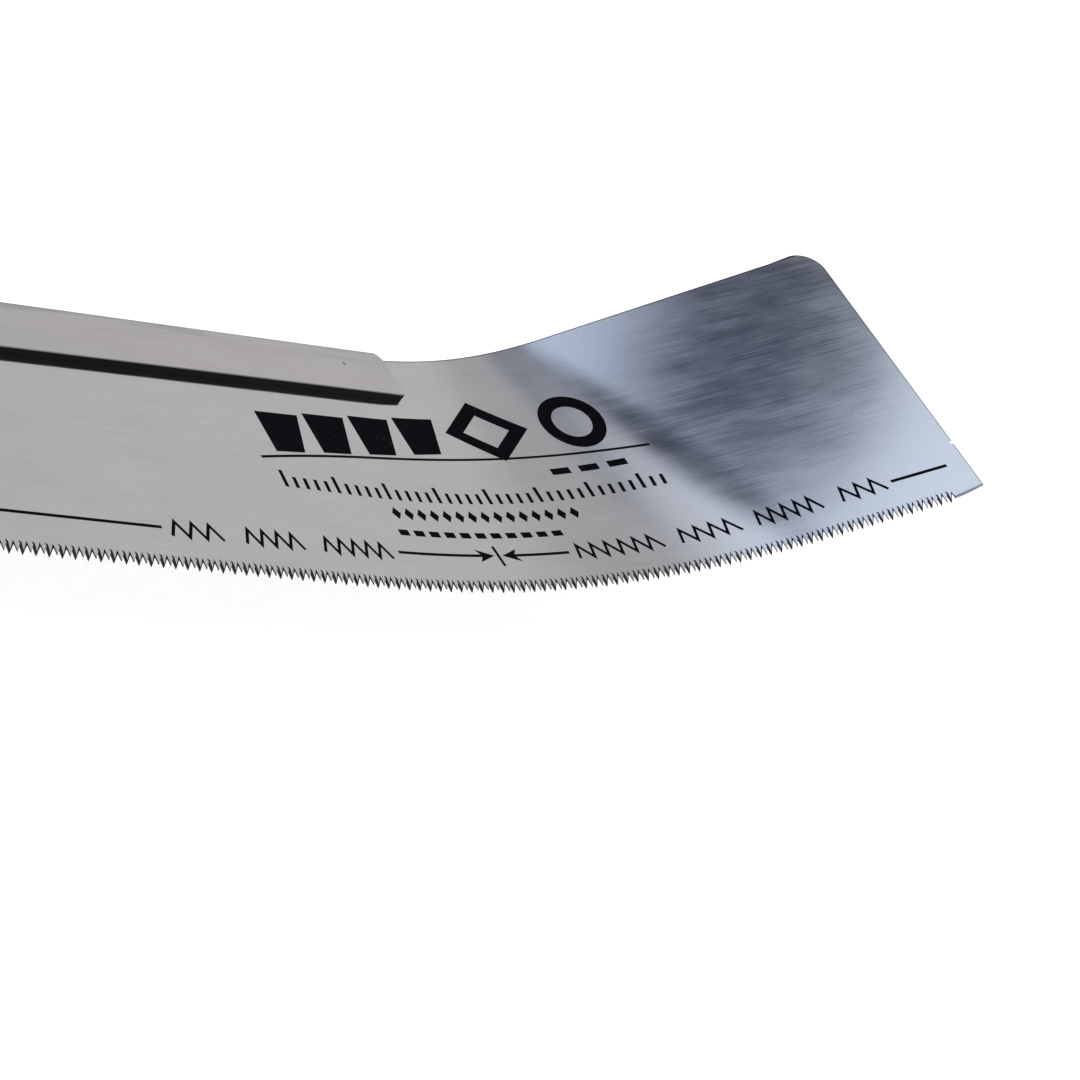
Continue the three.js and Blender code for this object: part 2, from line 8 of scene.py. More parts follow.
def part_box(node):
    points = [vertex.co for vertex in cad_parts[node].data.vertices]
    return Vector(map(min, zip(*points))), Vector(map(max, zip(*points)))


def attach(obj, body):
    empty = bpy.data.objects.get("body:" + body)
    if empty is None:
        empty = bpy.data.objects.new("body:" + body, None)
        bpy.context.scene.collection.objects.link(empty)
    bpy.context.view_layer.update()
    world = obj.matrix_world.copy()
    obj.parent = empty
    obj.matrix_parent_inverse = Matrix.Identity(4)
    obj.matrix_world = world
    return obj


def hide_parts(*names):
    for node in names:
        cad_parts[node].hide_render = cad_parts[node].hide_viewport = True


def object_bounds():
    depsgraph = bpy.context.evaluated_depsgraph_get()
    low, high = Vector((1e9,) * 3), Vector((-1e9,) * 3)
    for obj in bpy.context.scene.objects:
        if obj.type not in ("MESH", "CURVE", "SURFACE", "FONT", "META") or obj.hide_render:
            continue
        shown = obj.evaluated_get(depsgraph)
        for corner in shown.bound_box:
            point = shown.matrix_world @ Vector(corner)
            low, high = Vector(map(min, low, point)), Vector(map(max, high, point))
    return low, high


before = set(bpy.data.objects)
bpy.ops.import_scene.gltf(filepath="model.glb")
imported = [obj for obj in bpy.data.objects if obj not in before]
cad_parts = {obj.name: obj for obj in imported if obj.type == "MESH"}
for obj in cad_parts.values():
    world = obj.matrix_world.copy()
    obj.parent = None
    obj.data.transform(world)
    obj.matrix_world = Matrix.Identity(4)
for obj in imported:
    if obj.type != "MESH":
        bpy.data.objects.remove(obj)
cad_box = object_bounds()

# A Japanese pull saw, lying flat. Drawing coordinates are in millimetres: x runs along the blade to its
# tip and is 0 where the set teeth end, y runs from the tooth tips to the spine, and z is the height
# above the middle of the blade. at() takes them to the frame of the CAD model, in metres.
MM = 0.001
# The clearance between pieces, and the radius that closes a turned profile at its axis.
GAP = 0.3
AXIS_RADIUS = 0.02

BLADE_THICKNESS = 0.35
# The teeth start TOOTH_SHIFT past the heel. Wide ones take TOOTH_SPREAD from their neighbours on each side.
TOOTH_PITCH, TOOTH_DEPTH = 1.0, 2.2
TOOTH_SHIFT, TOOTH_SPREAD = 0.55, 0.1
HEEL_X, TOE_X, TIP_X = -144.0, 89.0, 96.0
TIP_LEAN = 0.038
TIP_CORNER_RADIUS = 4.5
TOE_LOW_Y, TIP_LOW_Y = 0.5, 1.35
# A sloping edge is its y at x = 0 and its rise for each millimetre of x.
BLADE_TOP = (48.8, 0.089)
TANG_REAR_X, TANG_FRONT_X, TANG_LOW_Y, TANG_HIGH_Y = -221.0, -172.0, 18.0, 34.0
SLOT_WIDTH = 5.0

# The flexed part lies on a cone: the ray where it starts, its span, and how far the sheet turns over that.
CONE_APEX = (24.1, 84.7)
CONE_START = math.radians(-30.4)
CONE_SPAN = math.radians(56.6)
CONE_TURN = math.radians(27.1)

SPINE_TOP = (49.6, 0.049)
SPINE_FRONT_X, SPINE_REAR_X = 5.0, -158.0
SPINE_HEIGHT, SPINE_THICKNESS, SPINE_EDGE_RADIUS = 9.5, 3.0, 0.9
SPINE_CORNER_RADIUS, SPINE_LOW_CORNER_RADIUS = 3.0, 0.6
DENT_FROM_FRONT, DENT_BELOW_TOP = 9.7, 4.4

HANDLE_AXIS_Y = 26.0
HANDLE_FRONT_X, HANDLE_REAR_X = -175.0, -482.0
HANDLE_HALF_THICKNESS = 12.0
# Places along the handle with its half height at each.
HANDLE_STATIONS = [(-175, 13.9), (-205, 14.3), (-290, 14.8), (-400, 16.0), (-482, 17.0)]
OVAL_POWER, OVAL_FLAT = 2.5, 0.97
HOLDER_REAR_X, HOLDER_LOW_Y, HOLDER_SHEET = -240.0, 17.3, 0.8
FERRULE_FRONT_X, FERRULE_REAR_X, FERRULE_PIN_X = HANDLE_FRONT_X + 0.6, -184.0, -179.5
WRAP_FRONT_X, WRAP_REAR_X = -222.0, -452.0
BAND_WIDTH = 5.0
BAND_X = {"front": WRAP_FRONT_X + GAP + BAND_WIDTH, "rear": WRAP_REAR_X - GAP}
CAP_RIM, CAP_ROUND = 2.4, 2.6
CAP_LENGTH = CAP_RIM + CAP_ROUND

SCREW_X = -193.0
SCREW_RADIUS, KNOB_RADIUS, KNOB_HEIGHT = 2.0, 7.0, 6.0
SHANK_HOLE_RADIUS = SCREW_RADIUS + 0.4
SEAT_Z, SEAT_RADIUS = 8.4, 8.6
WASHER_THICKNESS = 0.8
PLATE_Z = SEAT_Z + GAP
WASHER_Z = PLATE_Z + WASHER_THICKNESS + GAP
KNOB_Z = WASHER_Z + WASHER_THICKNESS + GAP
NUT_APOTHEM, NUT_TOP_Z, NUT_HEIGHT = 3.5, -6.4, 3.2

ORIGIN = Vector((
    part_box("saw_blade")[0].x - TANG_REAR_X * MM,
    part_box("blade_holder")[0].y - HOLDER_LOW_Y * MM,
    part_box("saw_blade")[0].z + BLADE_THICKNESS / 2 * MM,
))


def at(x, y, z=0.0):
    """A drawing point in the frame of the CAD model, in metres."""
    return ORIGIN + Vector((x, y, z)) * MM


def flexed(x, y, z=0.0):
    """Where (x, y) of the flat sheet goes when the blade is flexed, lifted by z along its normal."""
    dx, dy = x - CONE_APEX[0], CONE_APEX[1] - y
    angle = math.atan2(dx, dy) - CONE_START
    if angle <= 0:
        return at(x, y, z)
    bend = CONE_TURN / CONE_SPAN
    down = Vector((math.sin(CONE_START), -math.cos(CONE_START), 0))
    along = Vector((math.cos(CONE_START), math.sin(CONE_START), 0))
    axis = (down * bend + Vector((0, 0, 1))).normalized()
    turn = Quaternion(axis, math.hypot(1, bend) * min(angle, CONE_SPAN))
    straight = max(angle - CONE_SPAN, 0)
    ray = turn @ (down * math.cos(straight) + along * math.sin(straight))
    place = Vector((*CONE_APEX, 0)) + ray * math.hypot(dx, dy) + (turn @ Vector((0, 0, 1))) * z
    return at(*place)


def lerp(a, b, share):
    return a + (b - a) * share


def edge_y(edge, x):
    return edge[0] + edge[1] * x


# ---- objects and meshes ----

def new_object(name, mesh, materials=(), smooth_below=30):
    """An object made of one mesh, shaded smooth except at edges sharper than the angle in degrees."""
    piece = bpy.data.objects.new(name, mesh)
    bpy.context.scene.collection.objects.link(piece)
    for material in materials:
        mesh.materials.append(material)
    mesh.polygons.foreach_set("use_smooth", [True] * len(mesh.polygons))
    mesh.set_sharp_from_angle(angle=math.radians(smooth_below))
    return piece


def mesh_from(bm, name):
    bmesh.ops.recalc_face_normals(bm, faces=bm.faces)
    mesh = bpy.data.meshes.new(name)
    bm.to_mesh(mesh)
    bm.free()
    return mesh


def cut(piece, *tools, smooth_below=30):
    """Cuts other meshes out of a piece, and sets its sharp edges again."""
    removed = [new_object(tool.name, tool) for tool in tools]
    for tool in removed:
        modifier = piece.modifiers.new("cut", "BOOLEAN")
        modifier.operation = "DIFFERENCE"
        modifier.solver = "EXACT"
        modifier.object = tool
    bpy.context.view_layer.update()
    evaluated = piece.evaluated_get(bpy.context.evaluated_depsgraph_get())
    done = bpy.data.meshes.new_from_object(evaluated)
    done.set_sharp_from_angle(angle=math.radians(smooth_below))
    piece.modifiers.clear()
    piece.data = done
    for tool in removed:
        bpy.data.objects.remove(tool)
    return piece


def soften(piece, width, segments=2, angle=40):
    """Rounds a piece's sharp edges. The width is in millimetres."""
    bevel = piece.modifiers.new("soften", "BEVEL")
    bevel.width = width * MM
    bevel.segments = segments
    bevel.limit_method = "ANGLE"
    bevel.angle_limit = math.radians(angle)
    return piece


def loft(rings, name, loop=False, uv=None):
    """A surface through rings of places, closed by flat ends, or joined last to first when it is a loop.
    uv(row, side) gives the map's place of each corner, in metres."""
    bm = bmesh.new()
    rows = [[bm.verts.new(place) for place in ring] for ring in rings]
    layer = bm.loops.layers.uv.new("flow") if uv else None
    pairs = list(zip(rows, rows[1:])) + ([(rows[-1], rows[0])] if loop else [])
    sides = len(rows[0])
    for row, (a, b) in enumerate(pairs):
        for i in range(sides):
            j = (i + 1) % sides
            face = bm.faces.new((a[i], a[j], b[j], b[i]))
            if uv:
                corners = ((row, i), (row, i + 1), (row + 1, i + 1), (row + 1, i))
                for face_corner, corner in zip(face.loops, corners):
                    face_corner[layer].uv = uv(*corner)
    if not loop:
        bm.faces.new(rows[0])
        bm.faces.new(rows[-1])
    return mesh_from(bm, name)


def circle(radius, sides, x=0.0, y=0.0):
    angles = [2 * math.pi * i / sides for i in range(sides)]
    return [(x + radius * math.cos(a), y + radius * math.sin(a)) for a in angles]


def prism(name, outline, low_z, high_z):
    """An upright bar with the given outline in drawing coordinates."""
    return loft([[at(x, y, z) for x, y in outline] for z in (low_z, high_z)], name)


def box(name, low, high):
    outline = [(low[0], low[1]), (high[0], low[1]), (high[0], high[1]), (low[0], high[1])]
    return prism(name, outline, low[2], high[2])


def turned(name, profile, x, y=HANDLE_AXIS_Y, sides=64, lying=False, wave=None):
    """A turned piece on an upright axis, or on one that runs along -x. The profile lists (radius, height).
    wave(angle, height) is added to the radius."""
    rings = []
    for radius, height in profile:
        ring = []
        for i in range(sides):
            angle = 2 * math.pi * i / sides
            r = radius + (wave(angle, height) if wave else 0)
            u, v = r * math.cos(angle), r * math.sin(angle)
            ring.append(at(x + height, y + u, v) if lying else at(x + u, y + v, height))
        rings.append(ring)
    return loft(rings, name)


def ring_mesh(name, profile, x, y=HANDLE_AXIS_Y, sides=64):
    """A turned ring: the profile's (radius, height) points close on themselves."""
    rings = [[at(px, py, height) for px, py in circle(radius, sides, x, y)] for radius, height in profile]
    return loft(rings, name, loop=True)


def finish(piece, body, slot, *replaced):
    """Ties a finished piece to its body and hides the CAD nodes it stands for. The name of its finish is not
    used.
    """
    if replaced:
        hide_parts(*replaced)
    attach(piece, body)


# ---- materials ----

def node_of(tree, kind, inputs=None, **settings):
    """A shader node with its settings, and its inputs set to numbers or linked to other nodes' outputs."""
    node = tree.nodes.new(kind)
    for key, value in settings.items():
        setattr(node, key, value)
    for key, value in (inputs or {}).items():
        if isinstance(value, bpy.types.NodeSocket):
            tree.links.new(value, node.inputs[key])
        else:
            node.inputs[key].default_value = value
    return node


def new_material(name, roughness, metallic=0.0):
    """A material, its node tree and its Principled shader."""
    material = bpy.data.materials.new(name)
    material.use_nodes = True
    tree = material.node_tree
    shader = tree.nodes["Principled BSDF"]
    shader.inputs["Metallic"].default_value = metallic
    shader.inputs["Roughness"].default_value = roughness
    return material, tree, shader


def coordinates(tree, uv_map=None):
    """Places in metres: on the piece's own map, or in the frame of the model."""
    if uv_map:
        return node_of(tree, "ShaderNodeUVMap", uv_map=uv_map).outputs[0]
    return node_of(tree, "ShaderNodeTexCoord").outputs["Object"]


def noise(tree, where, stretch, detail=3.0, roughness=0.55):
    """A noise value. The stretch is how many times it changes in a metre, along X, Y and Z."""
    mapping = node_of(tree, "ShaderNodeMapping", {"Vector": where, "Scale": stretch})
    inputs = {"Vector": mapping.outputs[0], "Scale": 1.0, "Detail": detail, "Roughness": roughness}
    return node_of(tree, "ShaderNodeTexNoise", inputs).outputs["Fac"]


def remap(tree, value, low, high, to_low, to_high):
    inputs = {"Value": value, "From Min": low, "From Max": high, "To Min": to_low, "To Max": to_high}
    return node_of(tree, "ShaderNodeMapRange", inputs).outputs[0]


def math_of(tree, operation, a, b=0.0, c=0.0):
    return node_of(tree, "ShaderNodeMath", {0: a, 1: b, 2: c}, operation=operation).outputs[0]


def scaled(tree, color, factor):
    """A colour multiplied by a grey factor."""
    return node_of(tree, "ShaderNodeVectorMath", {0: color, "Scale": factor}, operation="SCALE").outputs[0]


def mixed(tree, share, a, b):
    """A colour between two others. Each is a colour or an output."""
    mix = node_of(tree, "ShaderNodeMix", data_type="RGBA")
    for key, value in ((0, share), (6, a), (7, b)):
        if isinstance(value, bpy.types.NodeSocket):
            tree.links.new(value, mix.inputs[key])
        else:
            mix.inputs[key].default_value = (*value, 1) if key else value
    return mix.outputs[2]


def bumped(tree, shader, height, distance, strength=0.5):
    """Bumps on the surface. The distance is in millimetres."""
    inputs = {"Height": height, "Strength": strength, "Distance": distance * MM}
    bump = node_of(tree, "ShaderNodeBump", inputs)
    tree.links.new(bump.outputs[0], shader.inputs["Normal"])


def metal(name, color, roughness, streak=0.05, patch=0.04, bump=0.002, uv_map=None, rim_shade=None):
    """Metal with fine grinding lines along X, faint cloudy patches and a fine speckle.
    The rim function, given the tree and the place, gives a factor of painted shade that darkens the edges of
    a sheet."""
    material, tree, shader = new_material(name, roughness, 1.0)
    where = coordinates(tree, uv_map)
    lines = noise(tree, where, (60, 5000, 5000), 4.0)
    clouds = noise(tree, where, (70, 210, 210), 4.0, 0.6)
    grain = noise(tree, where, (1600, 3200, 3200), 2.0)
    factor = math_of(tree, "ADD", remap(tree, lines, 0.25, 0.75, 1 - streak, 1 + streak),
                     remap(tree, clouds, 0.25, 0.75, -patch, patch))
    factor = math_of(tree, "ADD", factor, remap(tree, grain, 0.25, 0.75, -0.03, 0.03))
    shade = scaled(tree, color, factor)
    # Painted shade along the sheet's edges, where a function for it is given.
    if rim_shade:
        shade = scaled(tree, shade, rim_shade(tree, where))
    tree.links.new(shade, shader.inputs["Base Color"])
    rough = math_of(tree, "ADD", remap(tree, lines, 0.2, 0.8, -0.02, 0.03),
                    remap(tree, clouds, 0.2, 0.8, roughness - 0.02, roughness + 0.03))
    tree.links.new(rough, shader.inputs["Roughness"])
    bumped(tree, shader, math_of(tree, "ADD", lines, grain), bump, 0.3)
    shader.inputs["Anisotropic"].default_value = 0.3
    return material


def blade_rim_shade(tree, where):
    """Painted shade along the edges: darkens the last tenths of a millimetre at the top edge, the end edge
    and the edge past the teeth.
    A metre is added where an edge doesn't count."""
    dark_depth, light_depth, darkest = 0.1 * MM, 0.35 * MM, 0.35
    split = node_of(tree, "ShaderNodeSeparateXYZ", {0: where})
    top = math_of(tree, "MULTIPLY_ADD", split.outputs["X"], BLADE_TOP[1], BLADE_TOP[0] * MM)
    under_spine = math_of(tree, "LESS_THAN", split.outputs["X"], SPINE_FRONT_X * MM)
    below_top = math_of(tree, "ADD", math_of(tree, "SUBTRACT", top, split.outputs["Y"]), under_spine)
    end = math_of(tree, "MULTIPLY_ADD", split.outputs["Y"], TIP_LEAN, TIP_X * MM)
    before_end = math_of(tree, "SUBTRACT", end, split.outputs["X"])
    depth = math_of(tree, "MINIMUM", below_top, before_end)
    past_teeth = math_of(tree, "GREATER_THAN", split.outputs["X"], TOE_X * MM)
    low_edge = remap(tree, split.outputs["X"], TOE_X * MM, TIP_X * MM, TOE_LOW_Y * MM, TIP_LOW_Y * MM)
    above_low = math_of(tree, "SUBTRACT", split.outputs["Y"], low_edge)
    above_low = math_of(tree, "ADD", above_low, math_of(tree, "SUBTRACT", 1.0, past_teeth))
    depth = math_of(tree, "MINIMUM", depth, above_low)
    return remap(tree, depth, dark_depth, light_depth, darkest, 1.0)


def spine_rim_shade(tree, where):
    """Painted shade on the spine's rounded fold, darker towards its crown, and a faint streaky darkening in a
    band below it.
    """
    split = node_of(tree, "ShaderNodeSeparateXYZ", {0: where})
    # The fold's crown is painted darker: painted shade.
    fold = remap(tree, split.outputs["Y"], -1.1 * MM, -0.3 * MM, 1.0, 0.55)
    band_streaks = noise(tree, where, (35, 400, 1), 3.0, 0.6)
    band = remap(tree, split.outputs["Y"], -4.5 * MM, -1.5 * MM, 0.0, 1.0)
    shaded = math_of(tree, "MULTIPLY", band, remap(tree, band_streaks, 0.45, 0.7, 0.0, 0.22))
    return math_of(tree, "SUBTRACT", fold, shaded)


def wood(name):
    """Pale straight-grained softwood with its grain along X."""
    ring_pitch, ring_drift = 2.3 * MM, 16 * MM
    material, tree, shader = new_material(name, 0.55)
    where = coordinates(tree)
    drift = noise(tree, where, (7, 75, 75), 3.0)
    split = node_of(tree, "ShaderNodeSeparateXYZ", {0: where})
    across = math_of(tree, "MULTIPLY_ADD", drift, ring_drift, split.outputs["Y"])
    wave = math_of(tree, "SINE", math_of(tree, "MULTIPLY", across, 2 * math.pi / ring_pitch))
    uneven = remap(tree, noise(tree, where, (3, 260, 260), 3.0), 0.35, 0.65, 0.15, 1.0)
    rings = math_of(tree, "MULTIPLY", math_of(tree, "POWER", remap(tree, wave, -1, 1, 0, 1), 2.5), uneven)
    fibres = noise(tree, where, (60, 4200, 4200), 4.0, 0.65)
    base = mixed(tree, rings, (0.66, 0.46, 0.27), (0.45, 0.255, 0.115))
    tone = math_of(tree, "ADD", remap(tree, fibres, 0.25, 0.75, 0.86, 1.1),
                   remap(tree, noise(tree, where, (14, 90, 90)), 0.3, 0.7, -0.07, 0.07))
    tree.links.new(scaled(tree, base, tone), shader.inputs["Base Color"])
    tree.links.new(remap(tree, fibres, 0.2, 0.8, 0.5, 0.68), shader.inputs["Roughness"])
    bumped(tree, shader, math_of(tree, "ADD", fibres, math_of(tree, "MULTIPLY", rings, 0.6)), 0.06)
    return material


def cane(name):
    """Split rattan with its glossy rind. Its map runs along the strip and, from -0.5 to 0.5, across it."""
    material, tree, shader = new_material(name, 0.38)
    where = coordinates(tree, "flow")
    fibres = noise(tree, where, (30, 14, 1), 4.0, 0.6)
    tone = noise(tree, where, (4, 0.2, 1), 3.0)
    age = noise(tree, where, (45, 1.5, 1), 3.0)
    split = node_of(tree, "ShaderNodeSeparateXYZ", {0: where})
    edge = math_of(tree, "ABSOLUTE", split.outputs["Y"])
    base = mixed(tree, remap(tree, tone, 0.35, 0.65, 0, 1), (0.66, 0.43, 0.18), (0.50, 0.29, 0.10))
    base = mixed(tree, remap(tree, age, 0.55, 0.75, 0, 0.45), base, (0.34, 0.17, 0.055))
    # Each turn is darker towards its edges, where it meets the next: painted shade in the groove between
    # turns.
    factor = math_of(tree, "MULTIPLY", remap(tree, fibres, 0.25, 0.75, 0.82, 1.12),
                     remap(tree, edge, 0.3, 0.5, 1.0, 0.42))
    tree.links.new(scaled(tree, base, factor), shader.inputs["Base Color"])
    tree.links.new(remap(tree, fibres, 0.2, 0.8, 0.3, 0.5), shader.inputs["Roughness"])
    bumped(tree, shader, fibres, 0.05)
    return material


def moulded(name, color, roughness):
    """Moulded plastic with a fine matt texture."""
    material, tree, shader = new_material(name, roughness)
    where = coordinates(tree)
    texture = noise(tree, where, (2600, 2600, 2600), 2.0)
    dust = noise(tree, where, (160, 160, 160), 4.0, 0.65)
    tree.links.new(scaled(tree, color, remap(tree, dust, 0.3, 0.75, 0.8, 1.7)), shader.inputs["Base Color"])
    tree.links.new(remap(tree, dust, 0.3, 0.7, roughness - 0.05, roughness + 0.1), shader.inputs["Roughness"])
    bumped(tree, shader, texture, 0.03)
    return material


def ink(name):
    """Etched black printing, a little worn."""
    material, tree, shader = new_material(name, 0.6)
    shader.inputs["Specular IOR Level"].default_value = 0.02
    where = coordinates(tree)
    wear = noise(tree, where, (900, 1500, 1500), 4.0, 0.65)
    worn = remap(tree, wear, 0.62, 0.8, 0, 0.5)
    color = mixed(tree, worn, (0.002, 0.002, 0.004), (0.06, 0.06, 0.065))
    tree.links.new(color, shader.inputs["Base Color"])
    tree.links.new(remap(tree, wear, 0.3, 0.7, 0.55, 0.7), shader.inputs["Roughness"])
    return material


BLADE_STEEL = metal("blade_steel", (0.62, 0.62, 0.625), 0.11, uv_map="flow", rim_shade=blade_rim_shade)
TOOTH_STEEL = metal("tooth_steel", (0.035, 0.035, 0.045), 0.32)
SPINE_STEEL = metal("spine_steel", (0.60, 0.585, 0.57), 0.24, streak=0.03, uv_map="flow", rim_shade=spine_rim_shade)
# Near-black steel for the spine's faces that look towards the teeth: painted shade.
SPINE_LOW_EDGE_SHADE = metal("spine_low_edge_shade", (0.035, 0.03, 0.029), 0.35)
SHEET_STEEL = metal("sheet_steel", (0.50, 0.50, 0.49), 0.26)
FASTENER_STEEL = metal("fastener_steel", (0.42, 0.42, 0.41), 0.3)
BRASS = metal("brass", (0.74, 0.50, 0.20), 0.24, patch=0.14)
WOOD = wood("wood")
CANE = cane("cane")
BLACK_PLASTIC = moulded("black_plastic", (0.014, 0.014, 0.016), 0.45)
INK = ink("ink")

# ---- the blade ----

def top_y(x):
    """The upper edge. Under the spine it stays inside the fold."""
    hidden = SPINE_THICKNESS / 2 + GAP + 0.2
    neck_x = SPINE_REAR_X - 2
    if x <= TANG_FRONT_X:
        return TANG_HIGH_Y
    if x < neck_x:
        share = (x - TANG_FRONT_X) / (neck_x - TANG_FRONT_X)
        return lerp(TANG_HIGH_Y, edge_y(SPINE_TOP, SPINE_REAR_X) - hidden, share)
    if x < SPINE_FRONT_X + GAP:
        return edge_y(SPINE_TOP, x) - hidden
    return edge_y(BLADE_TOP, x)


def neck_low_y(x):
    """The lower edge between the tang and the first tooth, a quarter round."""
    if x <= TANG_FRONT_X:
        return TANG_LOW_Y
    share = (x - TANG_FRONT_X) / (HEEL_X - TANG_FRONT_X)
    return TANG_LOW_Y - (1 - math.sqrt(max(0.0, 1 - share * share))) * (TANG_LOW_Y - TOOTH_DEPTH)


def cross_lines():
    """Lines across the flat blade, each from a low point to a top point, with True where a tooth starts."""
    lines = []
    tang_steps, neck_steps, corner_steps = 12, 24, 16
    for i in range(tang_steps):
        x = lerp(TANG_REAR_X, TANG_FRONT_X, i / tang_steps)
        lines.append(((x, TANG_LOW_Y), (x, TANG_HIGH_Y), False))
    for i in range(neck_steps):
        x = lerp(TANG_FRONT_X, HEEL_X, math.sin(i / neck_steps * math.pi / 2))
        lines.append(((x, neck_low_y(x)), (x, top_y(x)), False))
    step_x = SPINE_FRONT_X + GAP
    for i in range(int((TOE_X - HEEL_X) / TOOTH_PITCH)):
        x = HEEL_X + TOOTH_SHIFT + i * TOOTH_PITCH
        # The two lines next to the spine's front end meet its step in the top edge.
        top_x = step_x if 0 <= x - SPINE_FRONT_X < 1 else step_x - 0.05 if -1 < x - SPINE_FRONT_X < 0 else x
        low_x = x + (-TOOTH_SPREAD if i % 2 == 0 else TOOTH_SPREAD)
        lines.append(((low_x, TOOTH_DEPTH), (top_x, top_y(top_x)), True))
    corner_y = edge_y(BLADE_TOP, TIP_X) - TIP_CORNER_RADIUS
    corner_x = TIP_X + TIP_LEAN * corner_y - TIP_CORNER_RADIUS
    for i in range(corner_steps + 1):
        share = i / corner_steps
        angle = lerp(math.pi / 2 + BLADE_TOP[1], -TIP_LEAN, share)
        top = (corner_x + TIP_CORNER_RADIUS * math.cos(angle), corner_y + TIP_CORNER_RADIUS * math.sin(angle))
        low_x = lerp(TOE_X + TOOTH_SHIFT + TOOTH_SPREAD, TIP_X, share)
        low = (low_x, lerp(TOE_LOW_Y, TIP_LOW_Y, share ** 1.5))
        lines.append((low, top, False))
    return lines


def tooth(index, set_teeth):
    """The two outlines of a tooth, each from the left gullet over the tip to the right one: the outer edge
    of its bevels and their inner edge. Every other tooth is wider and bevelled on the face that looks up."""
    bevel_up = index % 2 == 0
    gullet_y, bevel_top_y = 1.6, 1.87
    wide_tip_y, bevel_width = -0.2, 0.26
    if bevel_up:
        tip_x = -0.39 if set_teeth else -0.2
        outer = [(-TOOTH_SPREAD, gullet_y), (tip_x, wide_tip_y), (TOOTH_PITCH + TOOTH_SPREAD, gullet_y)]
        inner = [(bevel_width, bevel_top_y), (tip_x + bevel_width, 0.35), (0.92, bevel_top_y)]
    else:
        tip = (0.17, 0.4) if set_teeth else (0.02, 0.0)
        outer = [(TOOTH_SPREAD, gullet_y), tip, (TOOTH_PITCH - TOOTH_SPREAD, gullet_y)]
        inner = [(0.38, bevel_top_y), (0.4, 0.95), (0.66, bevel_top_y)]
    return bevel_up, outer, inner


def blade_mesh():
    """The plate: a grid on each face that follows the flex, with a bevelled tooth below each strip."""
    lines = cross_lines()
    rows = 26
    half = BLADE_THICKNESS / 2
    bevel_depth, set_bend = 0.13, 0.1
    bm = bmesh.new()
    uv_layer = bm.loops.layers.uv.new("flow")
    flat_of = {}

    def vert(x, y, z, bend=0.0):
        v = bm.verts.new(flexed(x, y, z + bend))
        flat_of[v] = (x * MM, y * MM)
        return v

    def face(*verts, material=0):
        made = bm.faces.new(verts)
        made.material_index = material
        for corner in made.loops:
            corner[uv_layer].uv = flat_of[corner.vert]

    def column(low, top, z):
        shares = [r / rows for r in range(rows + 1)]
        return [vert(lerp(low[0], top[0], share), lerp(low[1], top[1], share), z) for share in shares]

    def tooth_below(i):
        """The tooth between lines i and i + 1, with the strips of plate that it grows from."""
        index = round(lines[i][0][0] - HEEL_X - TOOTH_SHIFT)
        x = HEEL_X + TOOTH_SHIFT + index
        bevel_up, outer, inner = tooth(index, x < 0)
        bend = 0.0 if x >= 0 else set_bend if bevel_up else -set_bend
        mid_z = half - bevel_depth if bevel_up else bevel_depth - half
        bend_shares = (0.1, 1.0, 0.1)

        def outline(points, z):
            return [vert(x + px, py, z, bend * share) for (px, py), share in zip(points, bend_shares)]

        up = outline(inner if bevel_up else outer, half)
        down = outline(outer if bevel_up else inner, -half)
        mid = outline(outer, mid_z)
        a, b, c, d = near[i][0], near[i + 1][0], far[i][0], far[i + 1][0]
        face(a, up[0], up[2], b, near[i + 1][1], near[i][1])
        face(*up)
        face(c, far[i][1], far[i + 1][1], d, down[2], down[0])
        face(*reversed(down))
        up_edge, down_edge = [a, *up, b], [c, *down, d]
        for k in range(4):
            between = mid[max(k - 1, 0):k + 1]
            face(up_edge[k], *between, up_edge[k + 1], material=1)
            face(*reversed(between), down_edge[k], down_edge[k + 1], material=1)

    near = [column(low, top, half) for low, top, _ in lines]
    far = [column(low, top, -half) for low, top, _ in lines]
    for i, (_, _, toothed) in enumerate(lines[:-1]):
        for r in range(1 if toothed else 0, rows):
            face(near[i][r], near[i + 1][r], near[i + 1][r + 1], near[i][r + 1])
            face(far[i][r], far[i][r + 1], far[i + 1][r + 1], far[i + 1][r])
        face(near[i][rows], near[i + 1][rows], far[i + 1][rows], far[i][rows])
        if toothed:
            tooth_below(i)
        else:
            face(near[i][0], far[i][0], far[i + 1][0], near[i + 1][0])
    for end in (0, -1):
        for r in range(rows):
            face(near[end][r], far[end][r], far[end][r + 1], near[end][r + 1])
    return mesh_from(bm, "blade_plate")


def tang_slot():
    """The slot in the tang, open to the rear and round at the screw."""
    half, steps = SLOT_WIDTH / 2, 16
    outline = [(TANG_REAR_X - 2, HANDLE_AXIS_Y - half)]
    for i in range(steps + 1):
        angle = lerp(-math.pi / 2, math.pi / 2, i / steps)
        outline.append((SCREW_X + 0.5 + half * math.cos(angle), HANDLE_AXIS_Y + half * math.sin(angle)))
    outline.append((TANG_REAR_X - 2, HANDLE_AXIS_Y + half))
    return prism("tang_slot", outline, -1, 1)


def end_nick():
    """A small chip out of the blade's end edge."""
    y, depth, outside = 11.0, 0.8, 0.5
    x = TIP_X + TIP_LEAN * y
    points = [(x - depth, y), (x + outside, y - 0.8), (x + outside, y + 0.6)]
    rings = [[flexed(px, py, z) for px, py in points] for z in (-1, 1)]
    return loft(rings, "end_nick")


# The bevels of the teeth are shallow, so the blade's edges count as sharp from a small angle.
BLADE_SMOOTH_BELOW = 8
blade = new_object("blade_plate", blade_mesh(), (BLADE_STEEL, TOOTH_STEEL), BLADE_SMOOTH_BELOW)
cut(blade, tang_slot(), end_nick(), smooth_below=BLADE_SMOOTH_BELOW)
finish(blade, "blade_unit", "blade_steel", "saw_blade")

# ---- the spine ----

